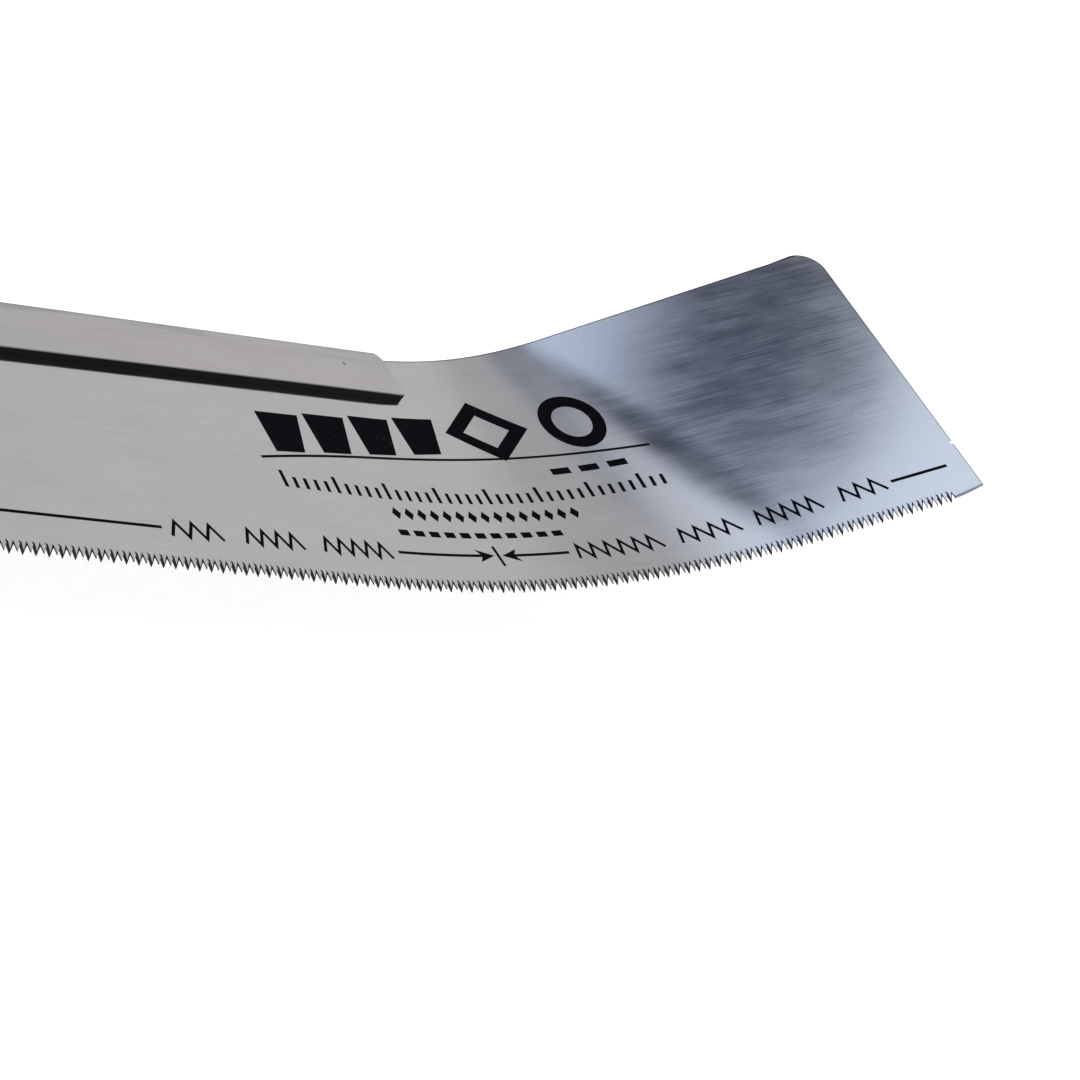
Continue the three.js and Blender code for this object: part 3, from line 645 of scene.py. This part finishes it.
def spine_section():
    """The folded strip's section as (below the top, sideways) points, from the lower outer corner round."""
    half, inner_half, lower_edge = SPINE_THICKNESS / 2, 0.2, 0.12
    radius, steps = SPINE_EDGE_RADIUS, 8
    points = [(-SPINE_HEIGHT, half - lower_edge), (-SPINE_HEIGHT + lower_edge, half)]
    points += [(-SPINE_HEIGHT * share, half) for share in (0.75, 0.5, 0.25)]
    for side in (1, -1):
        for i in range(steps + 1):
            angle = i / steps * math.pi / 2
            if side < 0:
                angle = math.pi / 2 - angle
            points.append((radius * (math.sin(angle) - 1), side * (half - radius + radius * math.cos(angle))))
    points += [(-SPINE_HEIGHT * share, -half) for share in (0.25, 0.5, 0.75)]
    points += [(-SPINE_HEIGHT + lower_edge, -half), (-SPINE_HEIGHT, lower_edge - half)]
    points += [(-SPINE_HEIGHT, -inner_half), (-half, -inner_half)]
    points += [(-half, inner_half), (-SPINE_HEIGHT, inner_half)]
    return points


def spine_mesh():
    section = spine_section()
    slope = math.atan(SPINE_TOP[1])
    steps = 48

    def place(x, y, z):
        return at(x - y * math.sin(slope), edge_y(SPINE_TOP, x) + y * math.cos(slope), z)

    rings = []
    for i in range(steps + 1):
        x = lerp(SPINE_REAR_X, SPINE_FRONT_X, i / steps)
        rings.append([place(x, y, z) for y, z in section])

    def flow(row, side):
        return (row / steps * (SPINE_FRONT_X - SPINE_REAR_X) * MM, section[side % len(section)][0] * MM)

    return loft(rings, "spine_fold", uv=flow)


def corner_tool(name, x, y, toward_x, toward_y, radius):
    """What lies outside a rounded corner whose round starts a radius before (x, y)."""
    steps, reach = 12, 3
    outline = []
    for i in range(steps + 1):
        angle = i / steps * math.pi / 2
        px = x + toward_x * radius * (math.sin(angle) - 1)
        py = y + toward_y * radius * (math.cos(angle) - 1)
        outline.append((px, py))
    outline.append((x + toward_x * reach, y - toward_y * radius))
    outline.append((x + toward_x * reach, y + toward_y * reach))
    outline.append((x - toward_x * radius, y + toward_y * reach))
    return prism(name, outline, -reach, reach)


def dent(x, y):
    """A small pit in the spine's upper face."""
    z = SPINE_THICKNESS / 2
    profile = [(AXIS_RADIUS, z - 0.22), (0.3, z - 0.05), (0.5, z + 0.2)]
    return turned("dent", profile, x, y, sides=16)


spine = new_object("spine_fold", spine_mesh(), (SPINE_STEEL, SPINE_LOW_EDGE_SHADE))
front_top, rear_top = edge_y(SPINE_TOP, SPINE_FRONT_X), edge_y(SPINE_TOP, SPINE_REAR_X)
low_corner = (SPINE_FRONT_X + 0.4, front_top - SPINE_HEIGHT)
cut(
    spine,
    corner_tool("front_corner", SPINE_FRONT_X, front_top, 1, 1, SPINE_CORNER_RADIUS),
    corner_tool("rear_corner", SPINE_REAR_X, rear_top, -1, 1, SPINE_CORNER_RADIUS),
    corner_tool("low_corner", *low_corner, 1, -1, SPINE_LOW_CORNER_RADIUS),
    dent(SPINE_FRONT_X - DENT_FROM_FRONT, front_top - DENT_BELOW_TOP),
)
# The strip's cut edges, the faces that look towards the teeth, get near-black steel: painted shade for faces
# turned away from the light.
faces_down = math.sin(math.radians(-60))
for face in spine.data.polygons:
    if face.normal.y < faces_down:
        face.material_index = 1
finish(spine, "blade_unit", "spine_steel", "spine")

# ---- printing on the blade ----

def stroke(points, width, closed=False):
    """A line of even width through points, as quads with mitred corners."""
    path = [Vector(p) for p in points]
    count = len(path)
    sides = []
    for i, p in enumerate(path):
        before = path[i - 1] if i or closed else None
        after = path[(i + 1) % count] if i < count - 1 or closed else None
        steps = [(a, b) for a, b in ((before, p), (p, after)) if a is not None and b is not None]
        directions = [(b - a).normalized() for a, b in steps]
        mean = sum(directions, Vector((0, 0))).normalized()
        normal = Vector((-mean.y, mean.x))
        across = Vector((-directions[0].y, directions[0].x))
        reach = width / 2 / max(normal.dot(across), 0.35)
        sides.append((p + normal * reach, p - normal * reach))
    pairs = list(zip(sides, sides[1:])) + ([(sides[-1], sides[0])] if closed else [])
    return [(a[0], a[1], b[1], b[0]) for a, b in pairs]


LINE_WIDTH = 0.5


def printed(name, shapes):
    """Flat shapes in drawing coordinates, laid on the flexed blade as one thin layer of ink."""
    bm = bmesh.new()
    for shape in shapes:
        bm.faces.new([bm.verts.new((x, y, 0)) for x, y in shape])
    bmesh.ops.remove_doubles(bm, verts=bm.verts, dist=1e-4)
    bmesh.ops.recalc_face_normals(bm, faces=bm.faces)
    bmesh.ops.triangulate(bm, faces=bm.faces)
    grid = 2.0
    for axis in ((1, 0, 0), (0, 1, 0)):
        reach = [Vector(axis).dot(v.co) for v in bm.verts]
        for k in range(math.ceil(min(reach) / grid), math.floor(max(reach) / grid) + 1):
            geometry = [*bm.verts, *bm.edges, *bm.faces]
            place = Vector(axis) * k * grid
            bmesh.ops.bisect_plane(bm, geom=geometry, plane_co=place, plane_no=axis, dist=1e-5)
    top = bmesh.ops.extrude_face_region(bm, geom=list(bm.faces))["geom"]
    bmesh.ops.translate(bm, vec=(0, 0, 1), verts=[v for v in top if isinstance(v, bmesh.types.BMVert)])
    surface_z, sunk, proud = BLADE_THICKNESS / 2, -0.02, 0.02
    for v in bm.verts:
        v.co = flexed(v.co.x, v.co.y, surface_z + lerp(sunk, proud, v.co.z))
    piece = new_object(name, mesh_from(bm, name), (INK,))
    finish(piece, "blade_unit", "black_plastic")


def teeth_symbol(from_x, to_x, y, height, upright):
    """A zigzag between two places: even teeth, or ones with an upright side."""
    pitch = 2.6
    count = max(1, round((to_x - from_x) / pitch))
    step = (to_x - from_x) / count
    points = [(from_x, y)]
    for i in range(count):
        x = from_x + i * step
        points.append((x + (0.25 if upright else 0.5) * step, y + height))
        points.append((x + step, y))
    return stroke(points, LINE_WIDTH)


def arrow(from_x, tip_x, y):
    """A thin arrow with a filled, barbed head."""
    length, half_width = 3.2, 1.25
    back = math.copysign(length, tip_x - from_x)
    notch = (tip_x - back * 0.72, y)
    halves = [[(tip_x, y), (tip_x - back, y + side * half_width), notch] for side in (1, -1)]
    return stroke([(from_x, y), notch], LINE_WIDTH) + halves


def tooth_legend():
    """The row above the teeth: what kind each stretch has, and where they change."""
    y, low_y, height = 7.1, 5.7, 2.7
    change_x = 3.8
    shapes = stroke([(-138, y), (-58.6, y)], LINE_WIDTH) + arrow(-15.7, change_x - 0.8, y)
    shapes += arrow(17.6, change_x + 0.8, y) + stroke([(80.7, y - 0.2), (92.2, y - 0.2)], 0.55)
    shapes += stroke([(change_x, 5), (change_x, 9)], LINE_WIDTH)
    for from_x, to_x in ((-57.4, -48.6), (-44.6, -34.2), (-30.4, -17.4)):
        shapes += teeth_symbol(from_x, to_x, low_y, height, False)
    for from_x, to_x in ((19, 35.5), (39, 50.6), (54, 66.5), (70.5, 79.4)):
        shapes += teeth_symbol(from_x, to_x, low_y, height, True)
    return shapes


def scale_row():
    """A ruler's marks, with a taller one every fifth."""
    first_x, pitch, low_y, lean = -30.6, 2, 17.9, 0.25
    shapes = []
    for i in range(38):
        x = first_x + pitch * i
        height = 3.2 if i % 5 == 0 else 2.1
        shapes += stroke([(x, low_y), (x + lean, low_y + height)], 0.65)
    return shapes


def mark_rows():
    """Two shorter rows, one of lozenges and one of dashes."""
    lozenge_y, half_width, half_height = 15.1, 0.85, 1.2
    dash_y, dash_length, dash_width = 11.2, 1.9, 1.1
    shapes = []
    for i in range(15):
        x, y = -11.2 + 2.5 * i, lozenge_y
        shapes.append([(x - half_width, y), (x, y - half_height), (x + half_width, y), (x, y + half_height)])
    for i in range(11):
        x = -13 + 3 * i
        shapes += stroke([(x, dash_y), (x + dash_length, dash_y)], dash_width)
    return shapes


def badge():
    """A row of dovetails over a thin curved rule, with a square, a ring and three dashes beside it."""
    steps, bold = 24, 2.3
    rule = []
    for i in range(steps + 1):
        share = i / steps
        rule.append((lerp(-32.5, 45.5, share), 23.4 + 13.2 * share * (1 - 0.78 * share)))
    shapes = stroke(rule, 0.45)
    for i in range(4):
        x, y = -29.6 + 9.7 * i, 25.0 + 1.05 * i
        shapes.append([(x + 0.9, y), (x + 6.6, y + 0.5), (x + 9.3, y + 8.3), (x + 0.9, y + 7.9)])
    shapes += stroke([(11.8, 33.6), (18.2, 28.6), (24.6, 33.8), (18.2, 39.0)], bold, closed=True)
    shapes += stroke(circle(4.6, 40, 35.2, 34.0), bold, closed=True)
    for x in (25, 30.5, 36):
        shapes += stroke([(x, 24.0), (x + 3.6, 24.0)], 1.3)
    return shapes


printed("print_tooth_legend", tooth_legend())
printed("print_scale_row", scale_row())
printed("print_mark_rows", mark_rows())
printed("print_badge", badge())

# ---- the handle ----

def handle_half_y(x):
    """Half height of the bare handle at x."""
    for (x0, y0), (x1, y1) in zip(HANDLE_STATIONS, HANDLE_STATIONS[1:]):
        if x >= x1:
            break
    return lerp(y0, y1, min(1.0, max(0.0, (x0 - x) / (x0 - x1))))


def oval_point(x, angle, extra):
    """A point of the handle's flat-sided oval at x, moved outwards by extra."""
    c, s = math.cos(angle), math.sin(angle)
    y = math.copysign(abs(c) ** (2 / OVAL_POWER), c)
    z = abs(s) ** (2 / OVAL_POWER)
    round_off = 1 - OVAL_FLAT
    if z > OVAL_FLAT - round_off:
        z = OVAL_FLAT - (OVAL_FLAT + round_off - z) ** 2 / (4 * round_off)
    z = math.copysign(z, s)
    return at(x, HANDLE_AXIS_Y + (handle_half_y(x) + extra) * y, (HANDLE_HALF_THICKNESS + extra) * z)


def oval_ring(x, extra, sides=96):
    return [oval_point(x, 2 * math.pi * i / sides, extra) for i in range(sides)]


def half_mesh(side):
    """One half of the handle, cut flat at the glue line, with rounded ends."""
    glue_z, steps, sides = 0.02, 40, 64
    rounding = [(0, -0.8), (0.3, -0.25), (1, 0)]
    stations = [(HANDLE_FRONT_X - dx, extra) for dx, extra in rounding]
    stations += [(lerp(HANDLE_FRONT_X - 1, HANDLE_REAR_X + 1, i / steps), 0) for i in range(1, steps)]
    stations += [(HANDLE_REAR_X + dx, extra) for dx, extra in reversed(rounding)]
    rings = []
    for x, extra in stations:
        ring = [oval_point(x, side * math.pi * i / sides, extra) for i in range(sides + 1)]
        for end in (ring[0], ring[-1]):
            end.z = at(0, 0, side * glue_z).z
        rings.append(ring)
    return loft(rings, "handle_wood")


def channel_tool():
    """The room in the wood for the blade holder, open at the front."""
    half = BLADE_THICKNESS / 2 + GAP + HOLDER_SHEET + GAP
    low = (HOLDER_REAR_X - GAP, TANG_LOW_Y - 1, -half)
    high = (HANDLE_FRONT_X + 1, TANG_HIGH_Y + GAP + HOLDER_SHEET + GAP, half)
    return box("channel", low, high)


def screw_hole(radius, low_z, high_z, sides=48):
    return prism("hole", circle(radius, sides, SCREW_X, HANDLE_AXIS_Y), low_z, high_z)


upper = new_object("handle_upper_wood", half_mesh(1), (WOOD,))
cut(upper, channel_tool(), screw_hole(SHANK_HOLE_RADIUS, -1, 12), screw_hole(SEAT_RADIUS, SEAT_Z, 20, 72))
lower = new_object("handle_lower_wood", half_mesh(-1), (WOOD,))
cut(
    lower,
    channel_tool(),
    screw_hole(SHANK_HOLE_RADIUS, -12, 1),
    screw_hole((NUT_APOTHEM + GAP) / math.cos(math.pi / 6), -20, NUT_TOP_Z + GAP, 6),
)
finish(soften(upper, 0.25), "handle", "wood", "handle_half_upper")
finish(soften(lower, 0.25), "handle", "wood", "handle_half_lower")


def cane_winding():
    """One strip of split cane wound round the handle edge to edge. Its ends run out under the bands.
    The crown is the strip's section: its share of the half width, and how far out it is."""
    width, steps_a_turn, mean_radius = 4.6, 72, 15
    turns = round((WRAP_FRONT_X - WRAP_REAR_X) / width)
    crown = [(-1, 1.05), (-0.96, 1.4), (-0.82, 1.7), (-0.45, 1.9), (0, 1.98), (0.45, 1.9), (0.82, 1.7)]
    crown += [(0.96, 1.4), (1, 1.05), (0.9, 0.4), (-0.9, 0.4)]
    count = (turns + 1) * steps_a_turn
    rings = []
    for i in range(count + 1):
        middle = lerp(WRAP_FRONT_X + width / 2, WRAP_REAR_X - width / 2, i / count)
        ring = []
        for share, extra in crown:
            x = min(WRAP_FRONT_X, max(WRAP_REAR_X, middle + share * width * 0.492))
            # The small offset keeps the section open where both sides are held at a limit.
            ring.append(oval_point(x - share * 0.004, 2 * math.pi * i / steps_a_turn, extra))
        rings.append(ring)
    around = 2 * math.pi * mean_radius * MM

    def flow(row, side):
        return (row / steps_a_turn * around, crown[side % len(crown)][0] / 2)

    return loft(rings, "cane_winding", uv=flow)


def sleeve(name, profile):
    """A sleeve round the handle. The profile's (x, extra) points close on themselves."""
    return loft([oval_ring(x, extra) for x, extra in profile], name, loop=True)


def band_mesh(name, x):
    """A moulded band with rounded edges and a shallow groove near each."""
    outer = [(0, 0.4), (0, 1.9), (0.25, 2.35), (0.7, 2.5), (1.0, 2.5), (1.15, 2.32), (1.35, 2.32), (1.5, 2.5)]
    outer += [(BAND_WIDTH - dx, extra) for dx, extra in reversed(outer)]
    return sleeve(name, [(x - dx, extra) for dx, extra in outer])


def ferrule_mesh():
    """A thin steel sleeve with a bead behind each rolled edge."""
    half = [(0, 0.35), (0, 0.9), (0.25, 1.15), (0.6, 1.1), (1.0, 0.95), (1.3, 1.1), (1.8, 1.3), (2.3, 1.1)]
    half += [(2.7, 1.0)]
    profile = [(FERRULE_FRONT_X - dx, extra) for dx, extra in half]
    profile += [(FERRULE_REAR_X + dx, extra) for dx, extra in reversed(half)]
    return sleeve("ferrule_sleeve", profile)


def nail(name, x, extra):
    """A round-headed nail through a sleeve whose outside is moved out by extra."""
    z = OVAL_FLAT * (HANDLE_HALF_THICKNESS + extra)
    shank_radius, head_radius, head_height, steps = 0.7, 1.55, 0.75, 8
    profile = [(AXIS_RADIUS, z - 5), (shank_radius, z - 4), (shank_radius, z - 0.05), (1.45, z - 0.05)]
    for i in range(steps):
        angle = i / steps * math.pi / 2
        profile.append((head_radius * math.cos(angle), z + 0.12 + head_height * math.sin(angle)))
    profile.append((AXIS_RADIUS, z + 0.88))
    return turned(name, profile, x, sides=32)


finish(new_object("cane_winding", cane_winding(), (CANE,), 50), "handle", "rattan", "rattan_wrap")
for end, x in BAND_X.items():
    band = new_object(f"band_{end}", band_mesh(f"band_{end}", x), (BLACK_PLASTIC,), 50)
    finish(band, "handle", "black_plastic", f"wrap_band_{end}")
    tack = new_object(f"tack_{end}", nail(f"tack_{end}", x - BAND_WIDTH / 2, 2.5), (BRASS,), 50)
    finish(tack, "handle", "brass", f"wrap_tack_{end}")
finish(new_object("ferrule_sleeve", ferrule_mesh(), (SHEET_STEEL,), 50), "handle", "sheet_steel", "ferrule")
pin = new_object("ferrule_nail", nail("ferrule_nail", FERRULE_PIN_X, 1.1), (FASTENER_STEEL,), 50)
finish(pin, "handle", "fastener_steel", "ferrule_pin")

# ---- the butt ----

def cap_mesh():
    """A moulded cap with a straight rim and a rounded end."""
    front, steps, rim_extra = HANDLE_REAR_X - GAP, 8, 0.4
    profile = [(0, -0.4), (0, 0.3), (0.15, 0.45), (CAP_RIM, rim_extra)]
    for i in range(1, steps + 1):
        angle = i / steps * math.pi / 2
        profile.append((CAP_RIM + CAP_ROUND * math.sin(angle), rim_extra - CAP_ROUND * (1 - math.cos(angle))))
    profile.append((CAP_LENGTH, -4.5))
    return loft([oval_ring(front - dx, extra) for dx, extra in profile], "butt_cap_moulding")


def cap_screw_profile(extra):
    """A countersunk screw from its point to its head, made larger by extra."""
    length, shank, head = 22 + extra, 1.6 + extra, 3.4 + extra
    profile = [(AXIS_RADIUS, length), (shank, 19), (shank, 2), (head, 0.25), (head, -extra)]
    return profile + [(AXIS_RADIUS, -extra)]


butt_x = HANDLE_REAR_X - GAP - CAP_LENGTH
cap = new_object("butt_cap_moulding", cap_mesh(), (BLACK_PLASTIC,), 40)
cut(cap, turned("countersink", cap_screw_profile(GAP), butt_x, lying=True))
finish(cap, "handle", "black_plastic", "butt_cap")
cap_screw_mesh = turned("butt_wood_screw", cap_screw_profile(0), butt_x, lying=True)
cap_screw = new_object("butt_wood_screw", cap_screw_mesh, (FASTENER_STEEL,))
slot_depth, slot_half = 0.9, 0.45
slot_low = (butt_x - 1, HANDLE_AXIS_Y - 4, -slot_half)
slot_high = (butt_x + slot_depth, HANDLE_AXIS_Y + 4, slot_half)
cut(cap_screw, box("slot", slot_low, slot_high))
finish(soften(cap_screw, 0.08), "handle", "fastener_steel", "butt_screw")

# ---- the clamping screw ----

def knob_mesh():
    """A fluted knob with a collar below and a threaded shank."""
    grooves, groove_depth = 30, 0.55
    collar_radius = 5.7
    low, top = KNOB_Z + 0.9, KNOB_Z + KNOB_HEIGHT
    end_z = NUT_TOP_Z - NUT_HEIGHT - 0.4
    ridges, ridge_pitch, thread_depth = 44, 0.42, 0.25
    thread = [(AXIS_RADIUS, end_z), (1.5, end_z), (1.95, end_z + 0.5)]
    for i in range(ridges):
        z = end_z + 0.7 + i * ridge_pitch
        thread += [(SCREW_RADIUS, z), (SCREW_RADIUS - thread_depth, z + ridge_pitch / 2)]
    profile = [(r, z) for r, z in thread if z < KNOB_Z - 0.3]
    profile += [(SCREW_RADIUS, KNOB_Z), (collar_radius - 0.5, KNOB_Z), (collar_radius, KNOB_Z + 0.12)]
    profile += [(collar_radius, KNOB_Z + 0.7), (6.4, low), (6.85, low + 0.3)]
    profile += [(KNOB_RADIUS, low + 0.6), (KNOB_RADIUS, top - 1.2), (6.75, top - 0.7), (6.3, top - 0.3)]
    profile += [(5.6, top - 0.05), (5.0, top), (4.6, top - 0.12), (2.5, top - 0.2), (AXIS_RADIUS, top - 0.2)]

    def flutes(angle, z):
        if z < low or z > top - 0.6:
            return 0.0
        return -groove_depth * abs(math.sin(grooves / 2 * angle)) ** 3

    return turned("knob", profile, SCREW_X, sides=grooves * 8, wave=flutes)


knob = new_object("thumbscrew", knob_mesh(), (BRASS,), 35)
knob_top = KNOB_Z + KNOB_HEIGHT
slot_depth, slot_half = 1.5, 0.7
slot_low = (SCREW_X - 9, HANDLE_AXIS_Y - slot_half, knob_top - slot_depth)
slot_high = (SCREW_X + 9, HANDLE_AXIS_Y + slot_half, knob_top + 1)
cut(knob, box("slot", slot_low, slot_high))
finish(knob, "clamp_screw", "brass", "lock_screw")


def washer_profile(inner, outer, low):
    """A flat ring's section, its edges broken except the lower inner one."""
    edge, high = 0.15, low + WASHER_THICKNESS
    profile = [(inner, low), (outer - edge, low), (outer, low + edge), (outer, high - edge)]
    return profile + [(outer - edge, high), (inner + edge, high), (inner, high - edge)]


washer = ring_mesh("washer", washer_profile(SCREW_RADIUS + GAP, KNOB_RADIUS - 0.4, WASHER_Z), SCREW_X)
finish(new_object("brass_washer", washer, (BRASS,)), "washer", "brass", "lock_washer")
plate = ring_mesh("plate", washer_profile(SHANK_HOLE_RADIUS, SEAT_RADIUS - GAP, PLATE_Z), SCREW_X)
finish(new_object("seat_plate", plate, (SHEET_STEEL,)), "handle", "sheet_steel", "clamp_plate")

# ---- the pieces that stay as they are in the CAD model ----
KEPT = {
    "blade_holder": SHEET_STEEL,
    "holder_rivet_front": FASTENER_STEEL,
    "holder_rivet_rear": FASTENER_STEEL,
    "stop_pin": FASTENER_STEEL,
    "lock_nut": FASTENER_STEEL,
}
for name, material in KEPT.items():
    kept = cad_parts[name]
    for slot in kept.material_slots:
        slot.material = material
    soften(kept, 0.12)

# ---- camera ----
SENSOR_WIDTH, LENS = 36, 90.7
EYE = (-283.909, -190.595, 187.368)
TURNS = (("Z", 0.117842), ("Y", -0.829124), ("X", 2.314004))

camera_data = bpy.data.cameras.new("camera")
camera_data.sensor_width = SENSOR_WIDTH
camera_data.lens = LENS
camera = bpy.data.objects.new("camera", camera_data)
bpy.context.scene.collection.objects.link(camera)
turn = Matrix.Identity(3)
for axis, angle in TURNS:
    turn = turn @ Matrix.Rotation(angle, 3, axis)
# The rows of turn are the camera's right, down and forward.
axes = Matrix((turn[0], -turn[1], -turn[2])).transposed()
camera.matrix_world = Matrix.Translation(at(*EYE)) @ axes.to_4x4()
bpy.context.scene.camera = camera

# ---- floor and light ----
FLOOR_GLOW, FLOOR_HALF_SIZE, FLOOR_BELOW = 0.55, 6, 0.2 * MM

bm = bmesh.new()
bmesh.ops.create_grid(bm, x_segments=1, y_segments=1, size=FLOOR_HALF_SIZE)
floor_material, floor_tree, floor_shader = new_material("floor", 0.8)
speckle = noise(floor_tree, coordinates(floor_tree), (300, 300, 300), 2.0)
floor_color = scaled(floor_tree, (0.86, 0.86, 0.86), remap(floor_tree, speckle, 0.3, 0.7, 0.99, 1.0))
floor_tree.links.new(floor_color, floor_shader.inputs["Base Color"])
floor_shader.inputs["Emission Color"].default_value = (1, 1, 1, 1)
floor_shader.inputs["Emission Strength"].default_value = FLOOR_GLOW
floor = new_object("floor", mesh_from(bm, "floor"), (floor_material,))
floor.location.z = cad_box[0][2] - FLOOR_BELOW

# The studio's walls: soft patches of light and shade round the saw. Azimuth is from +X towards +Y.
WALL = (0.67, 0.665, 0.67)
BACKDROP = (0.96, 0.96, 0.96)
# Each patch has its azimuth, elevation, radius of the even part, radius of the soft edge and colour.
PATCHES = [
    (-34, 27, 12, 40, (0.28, 0.28, 0.285)),
    (56, 43, 3, 13, (0.52, 0.52, 0.53)),
    (65.5, 48.5, 3, 8.5, (0.30, 0.32, 0.38)),
    (58, 53, 1, 6, (0.74, 0.77, 0.86)),
    (62.5, 60, 4.5, 9, (0.94, 1.06, 1.26)),
    (79, 55.3, 5, 8, (0.74, 0.85, 1.08)),
    (70.7, 57.3, 0.5, 3.1, (0.42, 0.48, 0.60)),
    (70.6, 56.6, 0.6, 2.9, (0.0, 0.01, 0.05)),
    (68.3, 54.6, 0.8, 3.5, (0.0, 0.0, 0.02)),
    (67.8, 56.7, 0.3, 2.6, (0.03, 0.05, 0.10)),
]


def direction(azimuth, elevation):
    a, e = math.radians(azimuth), math.radians(elevation)
    return Vector((math.cos(a) * math.cos(e), math.sin(a) * math.cos(e), math.sin(e)))


def studio_world():
    """Walls that light the saw and are seen in it. Seen directly, they are one pale backdrop."""
    world = bpy.data.worlds.new("studio")
    bpy.context.scene.world = world
    world.use_nodes = True
    tree = world.node_tree
    where = node_of(tree, "ShaderNodeTexCoord").outputs["Generated"]
    shade = WALL
    for azimuth, elevation, inner, outer, color in PATCHES:
        inputs = {0: where, 1: direction(azimuth, elevation)}
        near = node_of(tree, "ShaderNodeVectorMath", inputs, operation="DOT_PRODUCT").outputs["Value"]
        low, high = math.cos(math.radians(outer)), math.cos(math.radians(inner))
        inputs = {"Value": near, "From Min": low, "From Max": high}
        soft = node_of(tree, "ShaderNodeMapRange", inputs, interpolation_type="SMOOTHSTEP")
        shade = mixed(tree, soft.outputs[0], shade, color)
    seen = node_of(tree, "ShaderNodeLightPath").outputs["Is Camera Ray"]
    tree.links.new(mixed(tree, seen, shade, BACKDROP), tree.nodes["Background"].inputs["Color"])


def softbox(name, place, aim, size, power):
    """A square area light. It lights the saw and the floor, and isn't seen itself."""
    data = bpy.data.lights.new(name, "AREA")
    data.size = size
    data.energy = power
    lamp = bpy.data.objects.new(name, data)
    bpy.context.scene.collection.objects.link(lamp)
    lamp.location = place
    lamp.rotation_euler = (Vector(aim) - Vector(place)).to_track_quat("-Z", "Y").to_euler()
    lamp.visible_camera = False
    lamp.visible_glossy = False


studio_world()
softbox("overhead", place=(-0.3, 0.5, 1.6), aim=(0, 0, 0), size=2.4, power=14)
bpy.context.scene.view_settings.view_transform = "Standard"
